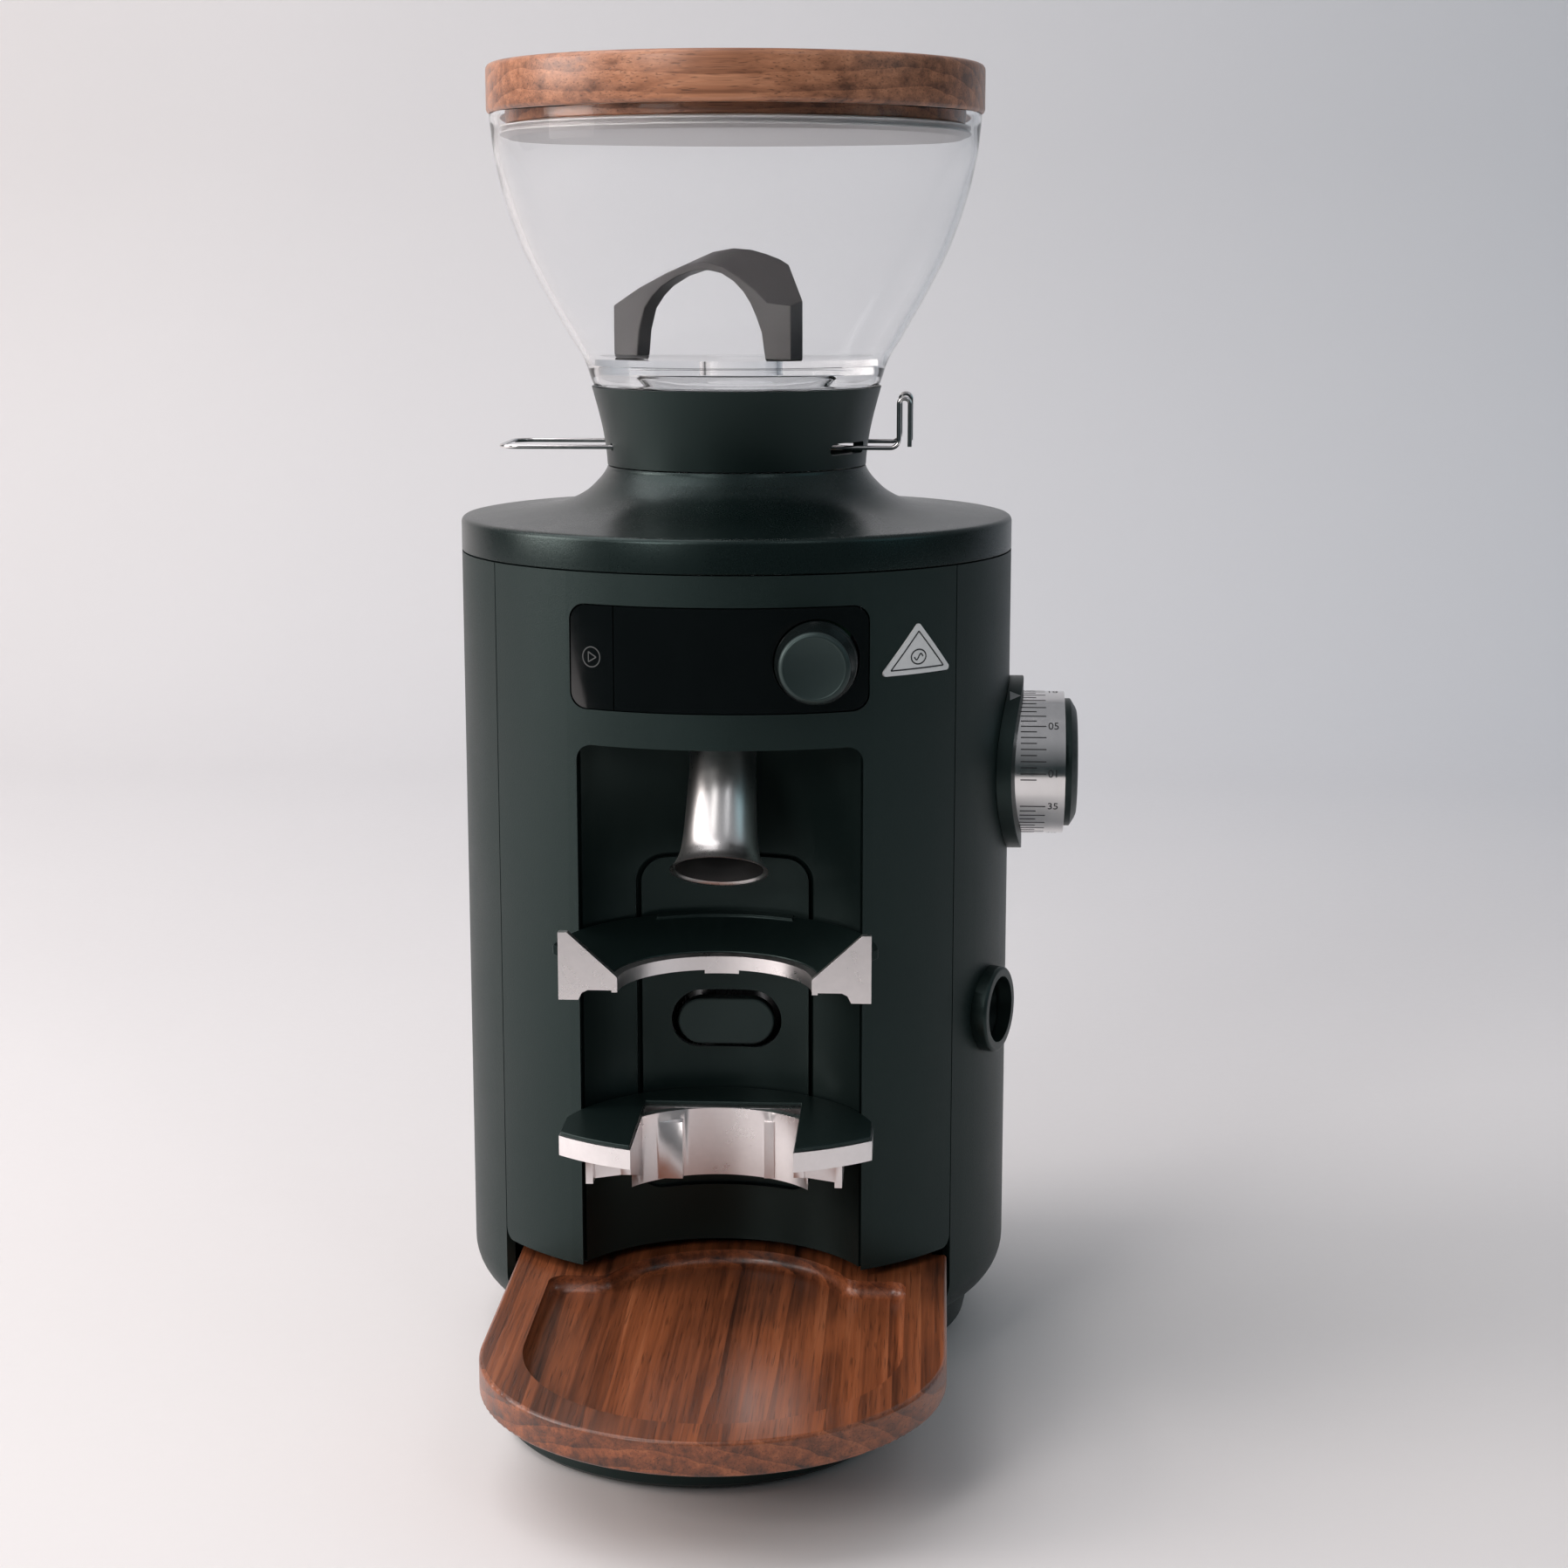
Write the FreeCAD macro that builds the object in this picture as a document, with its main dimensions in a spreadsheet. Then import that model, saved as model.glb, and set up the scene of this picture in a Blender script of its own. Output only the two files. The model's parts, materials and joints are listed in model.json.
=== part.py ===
import FreeCAD, Part
import Sketcher
import math
import os
import sys
from FreeCAD import Vector, Rotation, Placement

# Burr coffee grinder. Frame: +Z up, front towards -Y, origin on the floor under the
# axis of the cylindrical body. Millimetres.

os.makedirs("parts", exist_ok=True)
doc = FreeCAD.newDocument("burr_grinder")

# ---------------------------------------------------------------- driving dimensions
SIZES = [
    ("body_rad", 88, "outer radius of the round body"),
    ("wall", 3, "body wall"),
    ("body_top", 258, "joint between body and top cap"),
    ("shell_low", 16, "underside of the rear shell"),
    ("shell_round", 15, "radius at the foot of the rear shell"),
    ("skirt_rad", 78, "base skirt, top radius"),
    ("skirt_low", 5, "underside of the base skirt"),
    ("cover_low", 42, "bottom edge of the front cover"),
    ("cover_half", 53.3, "half angle of the front cover, degrees"),
    ("seam", 0.35, "gap at a panel seam"),
    ("niche_half", 43, "half width of the niche opening"),
    ("niche_top", 206, "ceiling of the niche"),
    ("niche_rad", 49.5, "radius of the niche wall"),
    ("niche_out", 99.5, "niche wall axis, in front of the body axis"),
    ("liner", 4, "thickness of the niche liner"),
    ("corner", 5, "corner radius of the openings"),
    ("disp_half", 44.4, "half width of the display"),
    ("disp_low", 217, "display bottom"),
    ("disp_high", 248, "display top"),
    ("key_edge", -30.8, "start key edge, across"),
    ("knob_side", 29.2, "centre of the knob, across"),
    ("knob_up", 232, "knob height"),
    ("knob_rad", 12.2, "knob radius at the panel"),
    ("knob_face", 10.6, "knob radius at its front"),
    ("cap_edge", 268.5, "top of the cap's outer band"),
    ("neck_rad", 41.3, "cap neck radius"),
    ("neck_top", 284, "top of the cap neck"),
    ("collar_top", 309, "top of the hopper collar"),
    ("collar_rad", 46.1, "collar top radius"),
    ("wire_up", 290.5, "height of the hopper clip wire"),
    ("wire_rad", 0.7, "clip wire radius"),
    ("wire_half", 17, "half distance between the clip legs"),
    ("hopper_low", 309.2, "where the clear bowl leaves the collar"),
    ("hopper_rim", 393, "hopper rim"),
    ("hopper_wall", 2.2, "clear wall"),
    ("lid_rad", 77.9, "lid radius"),
    ("lid_high", 15, "lid thickness"),
    ("plug_rad", 72, "lid plug radius"),
    ("gate_rad", 45, "shut-off disc radius"),
    ("gate_up", 316.1, "underside of the shut-off disc"),
    ("tray_low", 29, "underside of the tray"),
    ("tray_high", 39, "top of the tray"),
    ("tray_half", 67.5, "half width of the tray"),
    ("tray_nose", 134, "centre of the tray's round front"),
    ("tray_back", 42, "back edge of the tray"),
    ("dish_floor", 34, "bottom of the tray's hollow"),
    ("foot_half", 60.5, "half width of the base tongue"),
    ("foot_nose", 89, "centre of the tongue's round front"),
    ("foot_low", 2, "underside of the base tongue"),
    ("foot_side", -5, "centre of the tongue, across"),
    ("tray_side", 2, "centre of the tray, across"),
    ("dial_up", 188.3, "height of the grind dial"),
    ("dial_rad", 23, "dial scale radius"),
    ("ring_rad", 28, "dial collar radius"),
    ("ring_thick", 4.6, "thickness of the dial collar, which follows the body"),
    ("switch_turn", 69, "power switch, degrees right of the front"),
    ("switch_up", 114, "height of the power switch"),
    ("switch_rad", 13.7, "power switch collar radius"),
    ("fork_up", 149, "rim of the upper fork"),
    ("fork_half", 46.3, "half width of both forks"),
    ("fork_front", 100, "front of the upper fork"),
    ("cradle_up", 91, "top of the lower fork"),
    ("cradle_half", 46.8, "half width of the lower fork"),
    ("cradle_gap", 24, "half width of the lower fork's notch"),
    ("cradle_round", 73, "radius of the lower fork's front edge"),
    ("panel_half", 25.9, "half width of the sliding panel"),
    ("panel_top", 166.5, "top of the sliding panel"),
    ("panel_low", 80, "bottom of the sliding panel"),
    ("panel_gap", 1.5, "groove round the sliding panel"),
    ("button_up", 114.5, "height of the release button"),
    ("spout_out", 80, "spout mouth, in front of the body axis"),
    ("spout_up", 167.9, "height of the spout mouth"),
    ("spout_lean", 29.3, "lean of the spout, degrees"),
    ("spout_rad", 15.1, "spout mouth radius"),
    ("motor_rad", 42, "motor radius"),
    ("motor_low", 60, "underside of the motor"),
    ("deck_up", 150, "underside of the deck"),
    ("deck_thick", 5, "deck thickness"),
    ("shaft_rad", 6, "motor shaft radius"),
    ("chamber_rad", 41, "burr chamber radius"),
    ("chamber_low", 205, "burr chamber underside"),
    ("chamber_top", 243, "burr chamber top"),
    ("burr_rad", 27, "burr radius, 54 mm burrs"),
    ("burr_gap_up", 224, "top of the lower burr"),
    ("burr_thick", 9, "burr thickness"),
    ("lay_out", 62, "distance of the lay shaft from the body axis"),
    ("lay_gear", 12, "lay shaft gear radius"),
    ("ring_gear", 49.7, "adjusting ring radius"),
    ("thread_rad", 36, "adjusting thread radius"),
]
sheet = doc.addObject("Spreadsheet::Sheet", "Sizes")
for row, (alias, value, note) in enumerate(SIZES, 1):
    sheet.set("A%d" % row, alias)
    sheet.set("B%d" % row, str(value))
    sheet.set("C%d" % row, note)
    sheet.setAlias("B%d" % row, alias)
doc.recompute()


class Size:
    """A number from the sheet together with the expression that gives it."""

    def __init__(self, value, text):
        self.value, self.text = float(value), text

    def mix(self, other, sign, swap=False):
        a, b = self, size(other)
        if swap:
            a, b = b, a
        if sign == "+":
            value = a.value + b.value
        elif sign == "-":
            value = a.value - b.value
        elif sign == "*":
            value = a.value * b.value
        else:
            value = a.value / b.value
        return Size(value, "(%s %s %s)" % (a.text, sign, b.text))

    def __add__(self, other):
        return self.mix(other, "+")

    def __radd__(self, other):
        return self.mix(other, "+", True)

    def __sub__(self, other):
        return self.mix(other, "-")

    def __rsub__(self, other):
        return self.mix(other, "-", True)

    def __mul__(self, other):
        return self.mix(other, "*")

    def __rmul__(self, other):
        return self.mix(other, "*", True)

    def __truediv__(self, other):
        return self.mix(other, "/")

    def __neg__(self):
        return Size(-self.value, "(-1 * %s)" % self.text)

    def __float__(self):
        return self.value


def size(value):
    return value if isinstance(value, Size) else Size(value, repr(float(value)))


def sin_of(angle):
    return Size(math.sin(math.radians(float(angle))), "sin(%s * 1deg)" % size(angle).text)


def cos_of(angle):
    return Size(math.cos(math.radians(float(angle))), "cos(%s * 1deg)" % size(angle).text)


S = {alias: Size(value, "Sizes." + alias) for alias, value, note in SIZES}
EPS = 0.05                                   # running clearance
ALONG_X = Rotation(Vector(0, 1, 0), 90)      # an upright primitive laid along +X
ALONG_Y = Rotation(Vector(1, 0, 0), -90)     # an upright primitive laid along +Y


def bound(obj, **props):
    """Sets each property and ties it to the sheet."""
    for prop, value in props.items():
        setattr(obj, prop, float(value))
        if isinstance(value, Size):
            obj.setExpression(prop, value.text)
    return obj


def put(obj, pos, turn=None):
    """Places an object and ties its position to the sheet."""
    obj.Placement = Placement(Vector(*[float(p) for p in pos]), turn or Rotation())
    for axis, value in zip("xyz", pos):
        if isinstance(value, Size):
            obj.setExpression("Placement.Base." + axis, value.text)
    return obj


def cylinder(name, rad, high, pos=(0, 0, 0), turn=None, sweep=360):
    obj = bound(doc.addObject("Part::Cylinder", name), Radius=rad, Height=high, Angle=sweep)
    return put(obj, pos, turn)


def cone(name, rad_low, rad_high, high, pos=(0, 0, 0), turn=None):
    obj = bound(doc.addObject("Part::Cone", name), Radius1=rad_low, Radius2=rad_high, Height=high)
    return put(obj, pos, turn)


def box(name, x0, x1, y0, y1, z0, z1):
    """A box from its low and high corner."""
    obj = bound(doc.addObject("Part::Box", name), Length=size(x1) - x0, Width=size(y1) - y0,
                Height=size(z1) - z0)
    return put(obj, (x0, y0, z0))


def ball(name, rad, pos):
    return put(bound(doc.addObject("Part::Sphere", name), Radius=rad), pos)


def torus(name, big, small, pos=(0, 0, 0), turn=None):
    obj = bound(doc.addObject("Part::Torus", name), Radius1=big, Radius2=small)
    return put(obj, pos, turn)


def fuse(name, *shapes):
    if len(shapes) == 1:
        return shapes[0]
    obj = doc.addObject("Part::MultiFuse", name)
    obj.Shapes = list(shapes)
    obj.Refine = True
    return obj


def cut(name, base, *tools):
    obj = doc.addObject("Part::Cut", name)
    obj.Base = base
    obj.Tool = fuse(name + "_tools", *tools)
    obj.Refine = True
    return obj


def common(name, *shapes):
    obj = doc.addObject("Part::MultiCommon", name)
    obj.Shapes = list(shapes)
    obj.Refine = True
    return obj


def tube(name, rad_out, rad_in, high, pos=(0, 0, 0), turn=None):
    inner = size(high) + 2
    lower = Vector(0, 0, -1)
    if turn:
        lower = turn.multVec(lower)
    shift = [size(p) + d if abs(d) > 1e-9 else p for p, d in zip(pos, lower)]
    return cut(name, cylinder(name + "_outer", rad_out, high, pos, turn),
               cylinder(name + "_inner", rad_in, inner, shift, turn))


def rounded(name, base, radius, pick):
    """Part::Fillet on the edges that pick() keeps."""
    doc.recompute()
    obj = doc.addObject("Part::Fillet", name)
    obj.Base = base
    edges = [i for i, e in enumerate(base.Shape.Edges, 1) if pick(e)]
    if not edges:
        raise SystemExit("no edge to round on " + name)
    obj.Edges = [(i, float(radius), float(radius)) for i in edges]
    return obj


def bevelled(name, base, depth, pick):
    doc.recompute()
    obj = doc.addObject("Part::Chamfer", name)
    obj.Base = base
    edges = [i for i, e in enumerate(base.Shape.Edges, 1) if pick(e)]
    if not edges:
        raise SystemExit("no edge to bevel on " + name)
    obj.Edges = [(i, float(depth), float(depth)) for i in edges]
    return obj


def runs_along(axis):
    """Picks straight edges parallel to an axis."""
    want = Vector(*axis)

    def pick(edge):
        if len(edge.Vertexes) != 2 or not isinstance(edge.Curve, Part.Line):
            return False
        step = edge.Vertexes[1].Point - edge.Vertexes[0].Point
        return abs(abs(step.normalize().dot(want)) - 1) < 1e-6
    return pick


def at_height(z, round_only=False):
    """Picks edges that lie in one level."""
    def pick(edge):
        level = edge.BoundBox
        flat = abs(level.ZMin - float(z)) < 1e-4 and abs(level.ZMax - float(z)) < 1e-4
        return flat and (not round_only or isinstance(edge.Curve, Part.Circle))
    return pick


def window(name, half, z0, z1, y0, y1, radius=None, centre=0):
    """A prism through the front wall with rounded corners, seen from the front."""
    block = box(name + "_block", size(centre) - half, size(centre) + half, y0, y1, z0, z1)
    return rounded(name, block, radius or S["corner"], runs_along((0, 1, 0)))


def origin_plane(body, role):
    return [f for f in body.Origin.OriginFeatures if f.Role == role][0]


def profile(body, role, name, corners):
    """A closed sketch outline. A corner is (across, up) or (across, up, radius): the radius is of
    the arc that leads to the next corner, negative when it bends the other way."""
    sk = body.newObject("Sketcher::SketchObject", name)
    sk.AttachmentSupport = (origin_plane(body, role), [""])
    sk.MapMode = "FlatFace"
    pts = [Vector(float(c[0]), float(c[1]), 0) for c in corners]
    ends = []
    for i, corner in enumerate(corners):
        a, b = pts[i], pts[(i + 1) % len(pts)]
        if len(corner) == 2:
            geo = sk.addGeometry(Part.LineSegment(a, b), False)
            ends.append((geo, 1, 2))
            continue
        rad = float(corner[2])
        mid, chord = (a + b) * 0.5, b - a
        side = Vector(-chord.y, chord.x, 0).normalize() * (1 if rad > 0 else -1)
        centre = mid + side * math.sqrt(max(rad * rad - chord.Length ** 2 / 4, 0))
        first, last = (a, b) if rad > 0 else (b, a)
        t0 = math.atan2(first.y - centre.y, first.x - centre.x)
        t1 = math.atan2(last.y - centre.y, last.x - centre.x)
        if t1 < t0:
            t1 += 2 * math.pi
        ring = Part.Circle(centre, Vector(0, 0, 1), abs(rad))
        geo = sk.addGeometry(Part.ArcOfCircle(ring, t0, t1), False)
        ends.append((geo, 1, 2) if rad > 0 else (geo, 2, 1))
    con = Sketcher.Constraint
    for i, (geo, start, end) in enumerate(ends):
        nxt = ends[(i + 1) % len(ends)]
        sk.addConstraint(con("Coincident", geo, end, nxt[0], nxt[1]))
        for kind, line, value in (("DistanceX", -2, corners[i][0]), ("DistanceY", -1, corners[i][1])):
            if abs(float(value)) < 1e-9:
                sk.addConstraint(con("PointOnObject", geo, start, line))
                continue
            k = sk.addConstraint(con(kind, -1, 1, geo, start, float(value)))
            if isinstance(value, Size):
                sk.setExpression("Constraints[%d]" % k, value.text)
        if len(corners[i]) == 3:
            rad = corners[i][2]
            k = sk.addConstraint(con("Radius", geo, abs(float(rad))))
            if isinstance(rad, Size):
                text = rad.text if rad.value > 0 else (-rad).text
                sk.setExpression("Constraints[%d]" % k, text)
    return sk


def turned(name, corners, role="YZ_Plane", sweep=360):
    """A body of revolution round Z: a sketch of (radius, height) and one Revolution."""
    body = doc.addObject("PartDesign::Body", name)
    sk = profile(body, role, name + "_outline", corners)
    doc.recompute()
    rev = body.newObject("PartDesign::Revolution", name + "_turn")
    rev.Profile = sk
    rev.ReferenceAxis = (sk, ["V_Axis"])
    rev.Midplane = True
    bound(rev, Angle=sweep)
    body.Tip = rev
    doc.recompute()
    return body


def spun(name, points, pos=(0, 0, 0), turn=None, sweep=360, start=0):
    """A turned piece with a flowing outline, which needs splines: points is a list of runs, each a
    list of (radius, height); a run of two points is straight and a longer one is a smooth curve."""
    edges = []
    for run in points:
        pts = [Vector(float(r), 0, float(z)) for r, z in run]
        if len(pts) == 2:
            edges.append(Part.makeLine(pts[0], pts[1]))
        else:
            curve = Part.BSplineCurve()
            curve.interpolate(pts)
            edges.append(curve.toShape())
    face = Part.Face(Part.Wire(edges))
    solid = face.revolve(Vector(0, 0, 0), Vector(0, 0, 1), sweep)
    if start:
        solid.rotate(Vector(0, 0, 0), Vector(0, 0, 1), start)
    if solid.Volume < 0:
        solid.reverse()
    obj = doc.addObject("Part::Feature", name)
    obj.Shape = solid
    obj.Placement = Placement(Vector(*[float(p) for p in pos]), turn or Rotation())
    return obj


def prism(name, outline, depth, pos=(0, 0, 0), turn=None):
    """A flat outline of any corners pushed along its own +Z."""
    pts = [Vector(float(x), float(y), 0) for x, y in outline]
    solid = Part.Face(Part.makePolygon(pts + [pts[0]])).extrude(Vector(0, 0, float(depth)))
    obj = doc.addObject("Part::Feature", name)
    obj.Shape = solid
    obj.Placement = Placement(Vector(*[float(p) for p in pos]), turn or Rotation())
    return obj


def group(name, shapes):
    obj = doc.addObject("Part::Compound", name)
    obj.Links = list(shapes)
    return obj


NODES = {}


def keep(node, obj):
    """Marks an object as a sub-part; the label names its file."""
    obj.Label = node
    NODES[node] = obj
    return obj


# ================================================================ base, feet
R_OUT = S["body_rad"]
R_IN = R_OUT - S["wall"]
skirt = cone("skirt_disc", S["skirt_rad"] - 2.5, S["skirt_rad"], S["shell_low"] - S["skirt_low"],
             (0, 0, S["skirt_low"]))
nose_y = -S["foot_nose"]
side_x = S["foot_side"]
tongue = fuse("tongue", box("tongue_bar", side_x - S["foot_half"], side_x + S["foot_half"], nose_y, -40,
                            S["foot_low"], S["tray_low"] - EPS),
              cylinder("tongue_nose", S["foot_half"], S["tray_low"] - EPS - S["foot_low"],
                       (side_x, nose_y, S["foot_low"])))
tongue = bevelled("tongue_edge", tongue, 1.2, at_height(S["foot_low"]))
mid_x = S["tray_side"]
rib = box("tray_rib", mid_x - 9, mid_x + 9, -138, -60, S["tray_low"] - 1, S["tray_low"] + 2)
keep("base", cut("base_cut", fuse("base_all", skirt, tongue, rib),
                 cylinder("ring_room", 72.5, S["skirt_low"] + 5, (0, 0, -5)),
                 box("tongue_trim", side_x - S["foot_half"] - 5, -57.9, -54, -30, 10, 45)))
keep("foot_ring", turned("foot_ring", [(58, 0), (70, 0), (71.5, S["skirt_low"]),
                                       (56.5, S["skirt_low"])]))
keep("front_pads", group("front_pads", [
    cylinder("pad_%d" % i, 7, S["foot_low"], (x, y, 0))
    for i, (x, y) in enumerate(((-34, -112), (34, -112)))]))

# ================================================================ body shells
wrap = 360 - 2 * S["cover_half"]
foot_z = S["shell_low"] + 14
inner_turn = S["shell_round"] - S["wall"]
shell_mid = R_OUT - S["shell_round"]
lip = shell_mid + 3
shell = turned("shell_wall", [
    (R_OUT, S["body_top"] - S["seam"]), (R_IN, S["body_top"] - S["seam"]), (R_IN, foot_z, -inner_turn),
    (lip, foot_z - 11.619), (lip, S["shell_low"] + EPS), (shell_mid + 5.41, S["shell_low"] + EPS,
                                                           S["shell_round"]), (R_OUT, foot_z)],
    sweep=wrap)
switch_dir = (sin_of(S["switch_turn"]), -cos_of(S["switch_turn"]))
SWITCH = Rotation(Vector(0, 0, 1), float(S["switch_turn"]) - 90) * ALONG_X
vents = [rounded("vent_%d" % i, box("vent_block_%d" % i, -26, 26, 70, 95, 182 + 7 * i, 185 + 7 * i),
                 1.2, runs_along((0, 1, 0))) for i in range(7)]
keep("rear_shell", cut(
    "rear_shell", shell,
    cylinder("switch_hole", 11.2, 30, (switch_dir[0] * 72, switch_dir[1] * 72, S["switch_up"]), SWITCH),
    cylinder("dial_hole", 6, 30, (72, 0, S["dial_up"]), ALONG_X),
    box("inlet_hole", -14.2, 14.2, 70, 95, 40, 61), *vents))

cover_sweep = 2 * (S["cover_half"] - 0.25)
cover = turned("cover_wall", [(-R_OUT, S["cover_low"]), (-R_IN, S["cover_low"]),
                              (-R_IN, S["body_top"] - S["seam"]), (-R_OUT, S["body_top"] - S["seam"])],
               sweep=cover_sweep)


def lower_corner(edge):
    box_ = edge.BoundBox
    side = box_.ZMax < float(S["cover_low"]) + 1e-3
    return side and box_.XLength < 2.5 and box_.YLength < 2.5 and abs(box_.XMin) > 60


cover = rounded("cover_corner", cover, 4, lower_corner)
niche_gap = window("niche_gap", S["niche_half"], S["cover_low"] - 20, S["niche_top"], -100, -60)
disp_gap = window("disp_gap", S["disp_half"] + S["seam"], S["disp_low"] - S["seam"],
                  S["disp_high"] + S["seam"], -100, -60)
cover_blank = cut("cover_blank", cover, niche_gap, disp_gap)
keep("front_cover", cover_blank)

# ================================================================ niche liner
n_y = -S["niche_out"]
n_rad = S["niche_rad"]
liner_wall = cylinder("liner_wall", n_rad + S["liner"], S["niche_top"] + 2 - S["cover_low"],
                      (0, n_y, S["cover_low"]))
liner_hollow = cylinder("liner_hollow", n_rad, S["niche_top"] - S["cover_low"] + 5,
                        (0, n_y, S["cover_low"] - 5))
liner_reach = cylinder("liner_reach", R_IN - 0.2, 300)
spout_axis = Rotation(Vector(1, 0, 0), -float(S["spout_lean"]))
spout_pos = (0, -S["spout_out"], S["spout_up"])
spout_hole = cylinder("spout_hole", 10.4, 80, spout_pos, spout_axis)
gap = S["panel_gap"]
slide_room = common("slide_room", tube("slide_ring", n_rad + 2.3, n_rad - 1, S["panel_top"] + gap - 60,
                                       (0, n_y, 60)),
                    window("slide_window", S["panel_half"] + gap, 60, S["panel_top"] + gap, -60, -30, 8))
keep("niche_liner", cut("niche_liner", common("liner_body", liner_wall, liner_reach), liner_hollow,
                        slide_room, spout_hole, box("release_slot", -17.6, 17.6, -52, -40,
                                                    S["button_up"] - 22.2, S["button_up"] + 9.8)))

# ================================================================ cap, collar, hopper
neck = S["neck_rad"]
keep("top_cap", spun("top_cap", [
    [(R_OUT, S["body_top"]), (R_OUT, S["cap_edge"] - 1.7)],
    [(R_OUT, S["cap_edge"] - 1.7), (R_OUT - 0.5, S["cap_edge"] - 0.5), (R_OUT - 1.7, S["cap_edge"])],
    [(R_OUT - 1.7, S["cap_edge"]), (76, 269.3), (64, 270.6), (55, 272.5), (48.5, 275.6), (44, 279.7),
     (neck + 0.6, S["neck_top"] - 1.5), (neck, S["neck_top"])],
    [(neck, S["neck_top"]), (neck - 3.2, S["neck_top"])],
    [(neck - 3.2, S["neck_top"]), (neck - 3.2, 277), (44.5, 272), (56, 268.9), (70, 267), (R_IN - 2, 265.6)],
    [(R_IN - 2, 265.6), (R_IN, 264)], [(R_IN, 264), (R_IN, S["body_top"])],
    [(R_IN, S["body_top"]), (R_OUT, S["body_top"])]]))

collar_skin = spun("collar_skin", [
    [(neck, S["neck_top"] + 0.4), (neck + 0.5, 290), (neck + 1.7, 297), (neck + 3.3, 303.5),
     (S["collar_rad"], S["collar_top"])],
    [(S["collar_rad"], S["collar_top"]), (S["collar_rad"] - 1.6, S["collar_top"])],
    [(S["collar_rad"] - 1.6, S["collar_top"]), (neck - 1.3, 297), (neck - 3.1, S["neck_top"] + 0.4)],
    [(neck - 3.1, S["neck_top"] + 0.4), (neck, S["neck_top"] + 0.4)]])
wire_gap = S["wire_rad"] + 0.5
clip_cuts = [cylinder("clip_hole_%d" % i, wire_gap, 30, (-55, y, S["wire_up"]), ALONG_X)
             for i, y in enumerate((-S["wire_half"], S["wire_half"]))]
slots = [box("clip_slot_%d" % i, 26, 50, y - 9, y + 9, S["wire_up"] - 1.8, S["wire_up"] + 1.8)
         for i, y in enumerate((-S["wire_half"] - 2, S["wire_half"] + 2))]
slots = [rounded("clip_slot_round_%d" % i, s, 1.4, runs_along((1, 0, 0))) for i, s in enumerate(slots)]
keep("hopper_collar", cut("hopper_collar", collar_skin, *(clip_cuts + slots)))

low = S["hopper_low"]
rim = S["hopper_rim"]
throat = 17.6
keep("hopper", spun("hopper", [
    [(44.1, low), (44.9, low)], [(44.9, low), (45.9, low + 1.2)],
    [(45.9, low + 1.2), (48.6, 318), (52.9, 325), (60.3, 338), (67.3, 352), (72.6, 367), (75.9, 380),
     (77.1, rim - 4)],
    [(77.1, rim - 4), (77.7, rim - 4)], [(77.7, rim - 4), (77.7, rim)], [(77.7, rim), (74.7, rim)],
    [(74.7, rim), (74.4, rim - 12), (70.4, 367), (65.1, 352), (58.1, 338), (50.6, 325), (46.9, 318.6)],
    [(46.9, 318.6), (46.5, 316)], [(46.5, 316), (44.1, 316)], [(44.1, 316), (44.1, low)]]))

# clear bottom of the hopper: a floor with the fixed port, a funnel and the throat tube
wire_low, wire_high = S["wire_up"] - 1, S["wire_up"] + 1
throat_piece = spun("throat_shell", [
    [(44.05, 316), (30, 316)], [(30, 316), (30, 314)],
    [(30, 314), (22, 306.6), (15.2, 299)], [(15.2, 299), (15.2, 262)], [(15.2, 262), (throat, 262)],
    [(throat, 262), (throat, wire_low)], [(throat, wire_low), (16.1, wire_low)],
    [(16.1, wire_low), (16.1, wire_high)], [(16.1, wire_high), (throat, wire_high)],
    [(throat, wire_high), (throat, 300)], [(throat, 300), (24.5, 307.5), (32, 313.5)],
    [(32, 313.5), (44.05, 313.5)], [(44.05, 313.5), (44.05, 316)]])
port = 11
port_plate = cut("port_plate", cylinder("port_blank", 31, 1.6, (0, 0, 314.3)),
                 cylinder("port_hole", port, 6, (0, 17, 312)))
keep("hopper_throat", fuse("throat_all", throat_piece, port_plate))

# lid: a turned disc with a plug that sits inside the rim
lid_low = rim + 0.02
lid = turned("lid_blank", [(0, lid_low - 7), (S["plug_rad"], lid_low - 7), (S["plug_rad"], lid_low),
                           (S["lid_rad"], lid_low), (S["lid_rad"], rim + S["lid_high"]),
                           (0, rim + S["lid_high"])])
keep("lid", rounded("lid_round", lid, 1.4, at_height(rim + S["lid_high"])))
keep("lid_seal", turned("lid_seal", [(S["plug_rad"], rim - 5), (73.9, rim - 4.6), (73.9, rim - 3.4),
                                     (S["plug_rad"], rim - 3)]))

# shut-off disc: its port lies over the matching port when the handle is at rest
gate = cut("gate_disc", cylinder("gate_blank", S["gate_rad"], 2.2, (0, 0, S["gate_up"])),
           cylinder("gate_port", port, 6, (0, 17, S["gate_up"] - 2)))
keep("gate_disc", gate)

# bridge handle: an arch, higher towards one side
gate_face = S["gate_up"] + 2.2
arch_over = [(-36, 16), (-25, 22.5), (-14, 27.5), (-2, 33), (6, 34), (14, 33.3), (28, 29.3), (35, 17.5)]
arch_under = [(22, 0), (19.8, 9.8), (16.7, 16.6), (12.4, 22), (7, 25), (2, 26), (-2.7, 25.6), (-8.3, 24.3),
              (-14, 21.7), (-19.3, 16.3), (-22, 8), (-23.3, 0)]


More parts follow.
